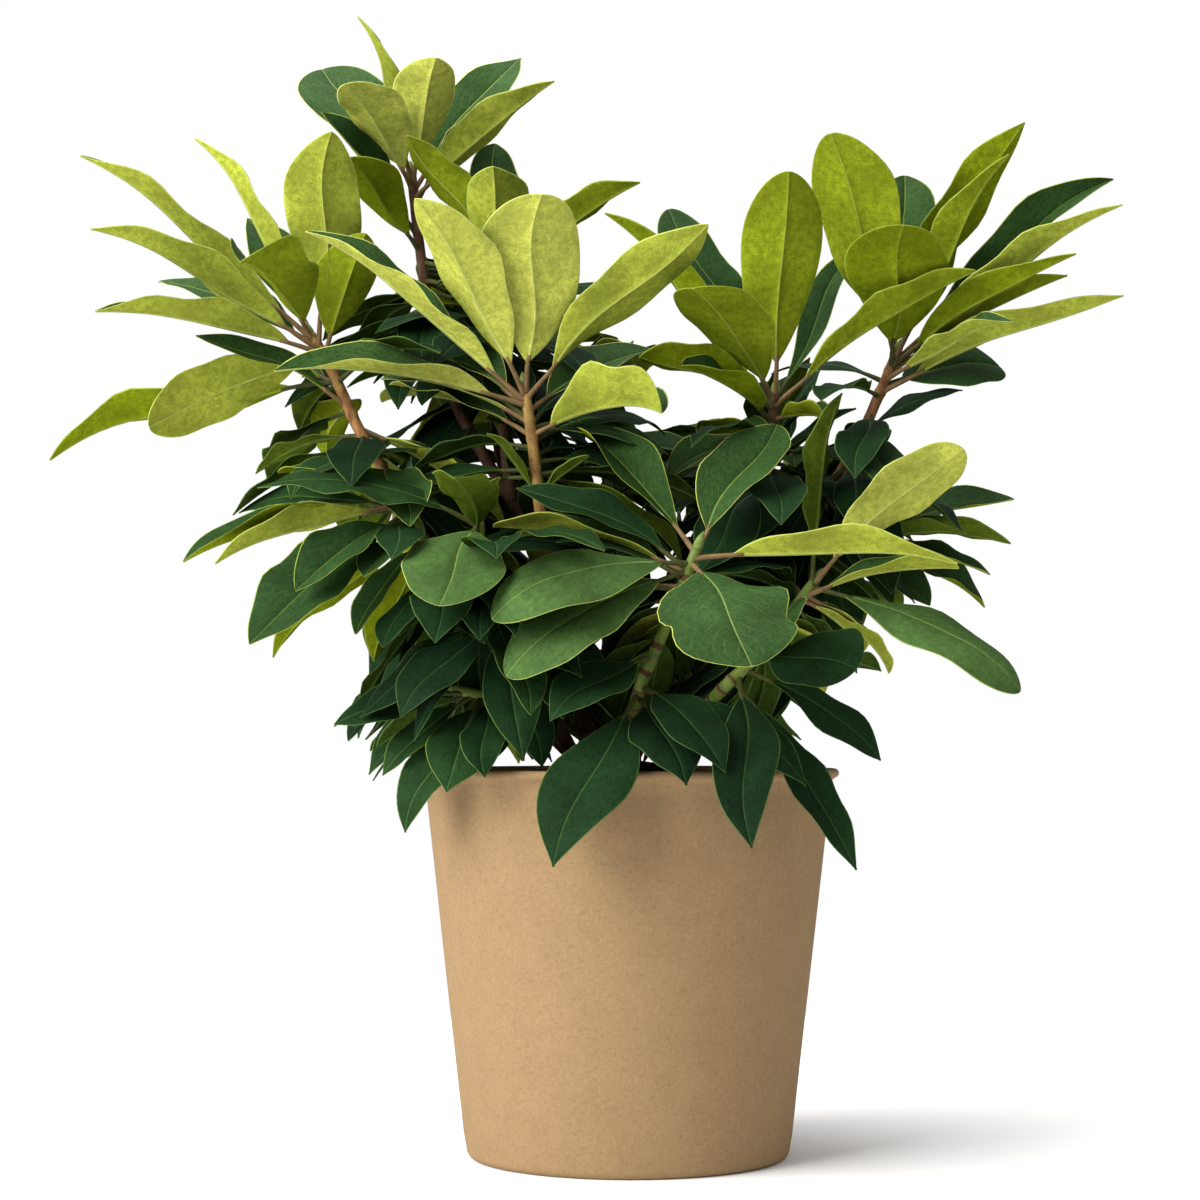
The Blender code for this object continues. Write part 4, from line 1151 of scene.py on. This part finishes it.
def pot_section():
    """The pot's section from its foot up the outside, over the rolled rim and down the inside."""
    points = [(0.0, 0.0)]
    foot = POT_FOOT_RADIUS
    for step in range(7):
        turn = math.radians(90 - 15 * step)
        points.append((foot - FOOT_ROUND + FOOT_ROUND * math.cos(turn), FOOT_ROUND - FOOT_ROUND * math.sin(turn)))
    height = POT_HEIGHT
    for step in range(1, 25):
        z = FOOT_ROUND + (height - 2.6 * RIM_BEAD - FOOT_ROUND) * step / 24
        points.append((foot + (POT_TOP_RADIUS - foot) * z / height, z))
    centre = (POT_RIM_RADIUS - RIM_BEAD, height - RIM_BEAD)
    for step in range(13):
        turn = math.radians(-75 + 25 * step)
        points.append((centre[0] + RIM_BEAD * math.cos(turn), centre[1] + RIM_BEAD * math.sin(turn)))
    for step in range(1, 9):
        z = height - 2 * RIM_BEAD - (SOIL_DEPTH_UNDER_RIM + 12 * MM) * step / 8
        points.append((foot + (POT_TOP_RADIUS - foot) * z / height - POT_WALL, z))
    points.append((0.0, points[-1][1]))
    return points


def add_pot(finishes):
    """The fibre pot: rounded foot, gently uneven wall, rolled rim and inner wall."""
    section = np.array(pot_section())
    steps = 180
    angles = np.linspace(0, 2 * np.pi, steps, endpoint=False)
    grid = []
    for x, z in section:
        ring = []
        for turn in angles:
            place = Vector((math.cos(turn) * 1.3, math.sin(turn) * 1.3, z * 9))
            uneven = 0.35 * MM * noise.noise(place) if x > 0 else 0.0
            ring.append(((x + uneven) * math.cos(turn), (x + uneven) * math.sin(turn), z))
        grid.append(ring)
    grid = np.array(grid[1:-1])
    rows = np.arange(len(grid) - 1)[:, None] * steps
    k = np.arange(steps)[None, :]
    nxt = (k + 1) % steps
    faces = np.stack([rows + k, rows + nxt, rows + steps + nxt, rows + steps + k], axis=-1).reshape(-1, 4)
    heap = Heap()
    heap.add_tube(grid, faces, "kraft_fibre")
    piece = new_object("fibre_pot", heap.mesh("fibre_pot", finishes))
    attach(piece, BODY)
    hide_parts("pot")


def add_compost(finishes):
    """The compost: a crumbly top with chips of bark on it."""
    radius = POT_FOOT_RADIUS + (POT_TOP_RADIUS - POT_FOOT_RADIUS) * SOIL_TOP / POT_HEIGHT - POT_WALL
    rings, sides = 46, 130
    grid = []
    for ring in range(rings):
        share = 1 - (ring / (rings - 1)) * 0.995
        row = []
        for side in range(sides):
            turn = 2 * math.pi * side / sides
            x = radius * share * math.cos(turn)
            y = radius * share * math.sin(turn)
            lump = noise.fractal(Vector((x * 60, y * 60, 1.0)), 1.0, 2.0, 4)
            crumb = noise.noise(Vector((x * 420, y * 420, 4.0)))
            row.append((x, y, SOIL_TOP + 1.6 * MM * lump + 1.1 * MM * crumb))
        grid.append(row)
    skirt = [[(x * 0.97, y * 0.97, SOIL_TOP - 14 * MM) for x, y, _ in grid[0]]]
    grid = np.array(skirt + grid)
    rows = np.arange(len(grid) - 1)[:, None] * sides
    k = np.arange(sides)[None, :]
    nxt = (k + 1) % sides
    faces = np.stack([rows + k, rows + nxt, rows + sides + nxt, rows + sides + k], axis=-1).reshape(-1, 4)
    heap = Heap()
    heap.add_tube(grid, faces, "compost")
    chance = random.Random(5)
    for _ in range(420):
        turn = chance.uniform(0, 2 * math.pi)
        out = radius * 0.96 * math.sqrt(chance.random())
        length = chance.uniform(2.0, 7.0) * MM
        heading = Vector((chance.uniform(-1, 1), chance.uniform(-1, 1), chance.uniform(-0.25, 0.25))).normalized()
        start = Vector((out * math.cos(turn), out * math.sin(turn), SOIL_TOP + 1.6 * MM))
        path = [start + heading * length * share for share in (0, 0.3, 0.7, 1.0)]
        thick = chance.uniform(0.5, 1.3) * MM
        chip, chip_faces = tube(path, [thick * 0.4, thick, thick * 0.9, thick * 0.3], 5, squash=0.5)
        heap.add_tube(chip, chip_faces, "compost_chip")
    piece = new_object("compost_top", heap.mesh("compost_top", finishes))
    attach(piece, BODY)
    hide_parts("soil")


def linear(colour, strength=1.0):
    """A colour as seen on a screen, as linear light."""
    light = [((c + 0.055) / 1.055) ** 2.4 if c > 0.04045 else c / 12.92 for c in colour]
    return (*[min(1.0, value * strength / EXPOSURE) for value in light], 1.0)


class Finish:
    """A material under construction: short ways to add and join its nodes."""

    def __init__(self, name, roughness):
        self.made = bpy.data.materials.new(name)
        self.made.use_nodes = True
        self.tree = self.made.node_tree
        self.shader = self.tree.nodes["Principled BSDF"]
        self.shader.inputs["Roughness"].default_value = roughness
        self.place = self.tree.nodes.new("ShaderNodeTexCoord")

    def link(self, source, target):
        self.tree.links.new(source, target)

    def noise(self, scale, detail=3.0, stretch=None, roughness=0.5):
        """A noise pattern in the object's own space, 0 to 1."""
        source = self.place.outputs["Object"]
        if stretch:
            mapping = self.tree.nodes.new("ShaderNodeMapping")
            mapping.inputs["Scale"].default_value = stretch
            self.link(source, mapping.inputs["Vector"])
            source = mapping.outputs["Vector"]
        node = self.tree.nodes.new("ShaderNodeTexNoise")
        node.inputs["Scale"].default_value = scale
        node.inputs["Detail"].default_value = detail
        node.inputs["Roughness"].default_value = roughness
        self.link(source, node.inputs["Vector"])
        return node.outputs["Fac"]

    def cells(self, scale):
        """A net of fine veins in the object's own space: 1 on its threads and 0 between."""
        node = self.tree.nodes.new("ShaderNodeTexVoronoi")
        node.feature = "DISTANCE_TO_EDGE"
        node.inputs["Scale"].default_value = scale
        self.link(self.place.outputs["Object"], node.inputs["Vector"])
        return self.spread(node.outputs["Distance"], 0.10, 0.0)

    def sum(self, operation, first, second=None):
        """A Math node on two values or outputs."""
        node = self.tree.nodes.new("ShaderNodeMath")
        node.operation = operation
        for socket, value in zip(node.inputs, (first, second)):
            if isinstance(value, (int, float)):
                socket.default_value = value
            elif value is not None:
                self.link(value, socket)
        return node.outputs[0]

    def spread(self, value, low, high):
        """A value stretched so that low becomes 0 and high 1."""
        node = self.tree.nodes.new("ShaderNodeMapRange")
        node.inputs["From Min"].default_value = low
        node.inputs["From Max"].default_value = high
        self.link(value, node.inputs["Value"])
        return node.outputs["Result"]

    def mix(self, factor, first, second):
        """Two colours or outputs mixed by a factor."""
        node = self.tree.nodes.new("ShaderNodeMix")
        node.data_type = "RGBA"
        if isinstance(factor, (int, float)):
            node.inputs[0].default_value = factor
        else:
            self.link(factor, node.inputs[0])
        for socket, value in ((node.inputs[6], first), (node.inputs[7], second)):
            if isinstance(value, tuple):
                socket.default_value = value
            else:
                self.link(value, socket)
        return node.outputs[2]

    def bump(self, height, strength, distance):
        """Relief from a height pattern."""
        node = self.tree.nodes.new("ShaderNodeBump")
        node.inputs["Strength"].default_value = strength
        node.inputs["Distance"].default_value = distance
        self.link(height, node.inputs["Height"])
        self.link(node.outputs["Normal"], self.shader.inputs["Normal"])

    def colour(self, output):
        self.link(output, self.shader.inputs["Base Color"])

    def gloss(self, level):
        self.shader.inputs["Specular IOR Level"].default_value = level


def vein_pattern(finish):
    """Lines that leave the midrib at a slant, 1 on a vein and 0 between."""
    parts = finish.tree.nodes.new("ShaderNodeSeparateXYZ")
    finish.link(finish.place.outputs["UV"], parts.inputs[0])
    off = finish.sum("ABSOLUTE", finish.sum("SUBTRACT", parts.outputs[1], 0.5))
    slant = finish.sum("MULTIPLY", finish.sum("POWER", off, 1.25), VEIN_SLANT)
    run = finish.sum("SUBTRACT", finish.sum("MULTIPLY", parts.outputs[0], VEIN_COUNT), slant)
    wander = finish.sum("MULTIPLY", finish.noise(70, 3), 1.1)
    wave = finish.sum("PINGPONG", finish.sum("ADD", run, wander), 0.5)
    worn = finish.spread(finish.noise(110, 2), 0.40, 0.62)
    return finish.sum("MULTIPLY", finish.spread(wave, 0.07, 0.0), worn)


def leaf_skin(name, colour, vein, under):
    """A leaf's skin: mottled colour, slanting veins, and a waxy or a matt, stippled face."""
    finish = Finish(name, 0.70 if under else 0.58)
    patches = finish.spread(finish.noise(36, 3), 0.30, 0.72)
    base = finish.mix(patches, linear(colour, 0.72), linear(colour, 1.30))
    blots = finish.spread(finish.noise(260, 3, roughness=0.65), 0.40, 0.62)
    base = finish.mix(finish.sum("MULTIPLY", blots, 0.60 if under else 0.45), base, linear(colour, 0.50))
    dots = finish.spread(finish.noise(1000 if under else 800, 3), 0.40, 0.66)
    base = finish.mix(finish.sum("MULTIPLY", dots, 0.45 if under else 0.32), base, linear(colour, 0.42))
    net = finish.cells(330)
    veins = vein_pattern(finish)
    fine = finish.sum("MAXIMUM", finish.sum("MULTIPLY", veins, 1.0), finish.sum("MULTIPLY", net, 0.3))
    base = finish.mix(finish.sum("MULTIPLY", fine, 0.16 if under else 0.13), base, linear(vein))
    finish.colour(base)
    relief = finish.sum("SUBTRACT", blots, finish.sum("MULTIPLY", veins, 0.7))
    if under:
        relief = finish.sum("ADD", finish.sum("MULTIPLY", blots, 0.8), finish.sum("MULTIPLY", veins, 0.6))
    finish.bump(relief, 0.25 if under else 0.35, 0.0003)
    finish.gloss(0.0 if under else 0.03)
    return finish.made


def plain_finish(name, colour, roughness, scale, depth, swing=(0.75, 1.2)):
    """A mottled finish with a fine grain, for veins, stalks and buds."""
    finish = Finish(name, roughness)
    patches = finish.spread(finish.noise(scale, 4), 0.3, 0.7)
    finish.colour(finish.mix(patches, linear(colour, swing[0]), linear(colour, swing[1])))
    finish.bump(finish.noise(scale * 6, 3), 0.3, depth)
    finish.gloss(0.08)
    return finish.made


def bark_finish(name, colours, roughness):
    """Bark or a green twig: three colours in streaks and flecks, and cracks along the limb."""
    finish = Finish(name, roughness)
    dark, body, light = (linear(colour) for colour in colours)
    streaks = finish.spread(finish.noise(240, 5, stretch=(1.0, 1.0, 0.22)), 0.35, 0.66)
    flecks = finish.spread(finish.noise(420, 3), 0.58, 0.70)
    patches = finish.spread(finish.noise(60, 3), 0.42, 0.62)
    base = finish.mix(streaks, dark, body)
    base = finish.mix(finish.sum("MULTIPLY", patches, 0.6), base, light)
    base = finish.mix(finish.sum("MULTIPLY", flecks, 0.55), base, dark)
    finish.colour(base)
    finish.bump(finish.noise(300, 6, stretch=(1.0, 1.0, 0.3)), 0.7, 0.0009)
    finish.gloss(0.2)
    return finish.made


def kraft_finish():
    """Moulded kraft fibre: warm tan with fine mottling, light and dark fibres and a soft tooth."""
    finish = Finish("kraft_fibre", 0.82)
    cloud = finish.spread(finish.noise(60, 5, roughness=0.62), 0.30, 0.72)
    base = finish.mix(cloud, linear(KRAFT, 0.96), linear(KRAFT, 1.08))
    fibres = finish.spread(finish.noise(330, 4, stretch=(1.0, 1.0, 2.2), roughness=0.6), 0.50, 0.64)
    base = finish.mix(finish.sum("MULTIPLY", fibres, 0.42), base, linear(KRAFT, 0.70))
    pale = finish.spread(finish.noise(420, 3, stretch=(1.8, 1.8, 0.8)), 0.54, 0.66)
    base = finish.mix(finish.sum("MULTIPLY", pale, 0.40), base, linear(KRAFT, 1.30))
    finish.colour(base)
    finish.bump(finish.noise(700, 4), 0.3, 0.0003)
    finish.gloss(0.1)
    return finish.made


def floor_finish():
    """A plain pale matt floor."""
    finish = Finish("floor_pale", 0.9)
    cloud = finish.noise(3.0, 2)
    finish.colour(finish.mix(cloud, (0.93, 0.93, 0.93, 1.0), (0.95, 0.95, 0.95, 1.0)))
    return finish.made


def make_finishes():
    """Every material by name."""
    made = {}
    for shade, (upper, under, margin) in SHADES.items():
        made[f"{shade}_upper"] = leaf_skin(f"{shade}_upper", upper, margin, False)
        made[f"{shade}_under"] = leaf_skin(f"{shade}_under", under, margin, True)
        made[f"{shade}_margin"] = plain_finish(f"{shade}_margin", margin, 0.5, 160, 0.0002, (0.75, 1.1))
        rib = [a + (b - a) * RIB_PALENESS for a, b in zip(upper, margin)]
        made[f"{shade}_rib"] = plain_finish(f"{shade}_rib", rib, 0.5, 160, 0.0002, (0.8, 1.15))
    for name, colour in STALKS.items():
        made[name] = plain_finish(name, colour, 0.5, 180, 0.0002)
    made["bud"] = plain_finish("bud", (0.58, 0.66, 0.34), 0.45, 400, 0.0003)
    made["bark"] = bark_finish("bark", ((0.30, 0.20, 0.13), (0.52, 0.37, 0.25), (0.62, 0.50, 0.38)), 0.85)
    made["twig_old"] = bark_finish("twig_old", ((0.40, 0.25, 0.14), (0.68, 0.47, 0.28), (0.78, 0.60, 0.38)), 0.75)
    made["twig_young"] = bark_finish("twig_young", ((0.50, 0.31, 0.18), (0.82, 0.59, 0.35), (0.78, 0.68, 0.36)), 0.6)
    made["twig_red"] = bark_finish("twig_red", ((0.27, 0.16, 0.11), (0.45, 0.29, 0.20), (0.54, 0.42, 0.29)), 0.7)
    made["twig_green"] = bark_finish("twig_green", ((0.36, 0.42, 0.16), (0.52, 0.62, 0.24), (0.60, 0.68, 0.32)), 0.5)
    made["twig_node"] = bark_finish("twig_node", ((0.27, 0.17, 0.11), (0.44, 0.30, 0.19), (0.55, 0.42, 0.28)), 0.8)
    made["kraft_fibre"] = kraft_finish()
    made["compost"] = bark_finish("compost", ((0.05, 0.035, 0.025), (0.13, 0.095, 0.07), (0.20, 0.15, 0.11)), 1.0)
    made["compost_chip"] = bark_finish("compost_chip", ((0.10, 0.07, 0.05), (0.24, 0.17, 0.12), (0.34, 0.26, 0.19)), 0.95)
    return made


def add_stage():
    """Floor, soft light and camera."""
    bpy.ops.mesh.primitive_circle_add(radius=FLOOR_RADIUS, vertices=128, fill_type="NGON", location=(0, 0, 0))
    floor = bpy.context.object
    floor.name = "floor"
    floor.data.materials.append(floor_finish())
    bpy.context.scene.view_settings.view_transform = "Standard"
    world = bpy.data.worlds.new("studio")
    world.use_nodes = True
    nodes = world.node_tree.nodes
    nodes["Background"].inputs["Color"].default_value = (1.0, 1.0, 1.0, 1.0)
    rays = nodes.new("ShaderNodeLightPath")
    strength = nodes.new("ShaderNodeMapRange")
    strength.inputs["To Min"].default_value = AMBIENT
    strength.inputs["To Max"].default_value = BACKGROUND
    world.node_tree.links.new(rays.outputs["Is Camera Ray"], strength.inputs["Value"])
    world.node_tree.links.new(strength.outputs["Result"], nodes["Background"].inputs["Strength"])
    bpy.context.scene.world = world
    for name, place, aim, size, power in LIGHTS:
        lamp = bpy.data.lights.new(name, "AREA")
        lamp.size = size
        lamp.energy = power
        obj = bpy.data.objects.new(name, lamp)
        obj.location = place
        obj.rotation_euler = (Vector(aim) - Vector(place)).to_track_quat("-Z", "Y").to_euler()
        bpy.context.scene.collection.objects.link(obj)
    lens = bpy.data.cameras.new("camera")
    lens.lens = 84.0
    lens.sensor_width = 36
    lens.clip_start = 0.01
    camera = bpy.data.objects.new("camera", lens)
    camera.location = CAMERA_PLACE
    aim = Vector(CAMERA_AIM) - Vector(CAMERA_PLACE)
    camera.rotation_euler = aim.to_track_quat("-Z", "Y").to_euler()
    bpy.context.scene.collection.objects.link(camera)
    bpy.context.scene.camera = camera


def grow():
    """The shoots, the leaves that the solids have and the leaves between them."""
    space = Space()
    path, radii = trunk_course()
    space.add("limbs", *limb_shape("trunk", path, radii, TRUNK_SIDES), None)
    for name, mass in MASSES.items():
        path = bough_path(mass)
        radii = tapered(path, BOUGH_ROOT_RADIUS, BOUGH_TIP_RADIUS)
        space.add("limbs", *limb_shape(name, path, radii, BOUGH_SIDES), None)
    shoots = {name: shoot_paths(mass) for name, mass in MASSES.items()}
    for name, paths in shoots.items():
        for path in paths:
            radii = tapered(path, SHOOT_ROOT_RADIUS, SHOOT_TIP_RADIUS)
            space.add(name, *limb_shape(name, path, radii, 0), None)
    grown = grow_leaves(space, shoots)
    return shoots, grown, infill(space, shoots, grown)


def main():
    """Builds the dressed plant."""
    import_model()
    add_stage()
    finishes = make_finishes()
    shoots, grown, added = grow()
    add_pot(finishes)
    add_compost(finishes)
    add_wood(finishes)
    add_twigs(shoots, finishes)
    add_leaves(grown, added, finishes)


main()
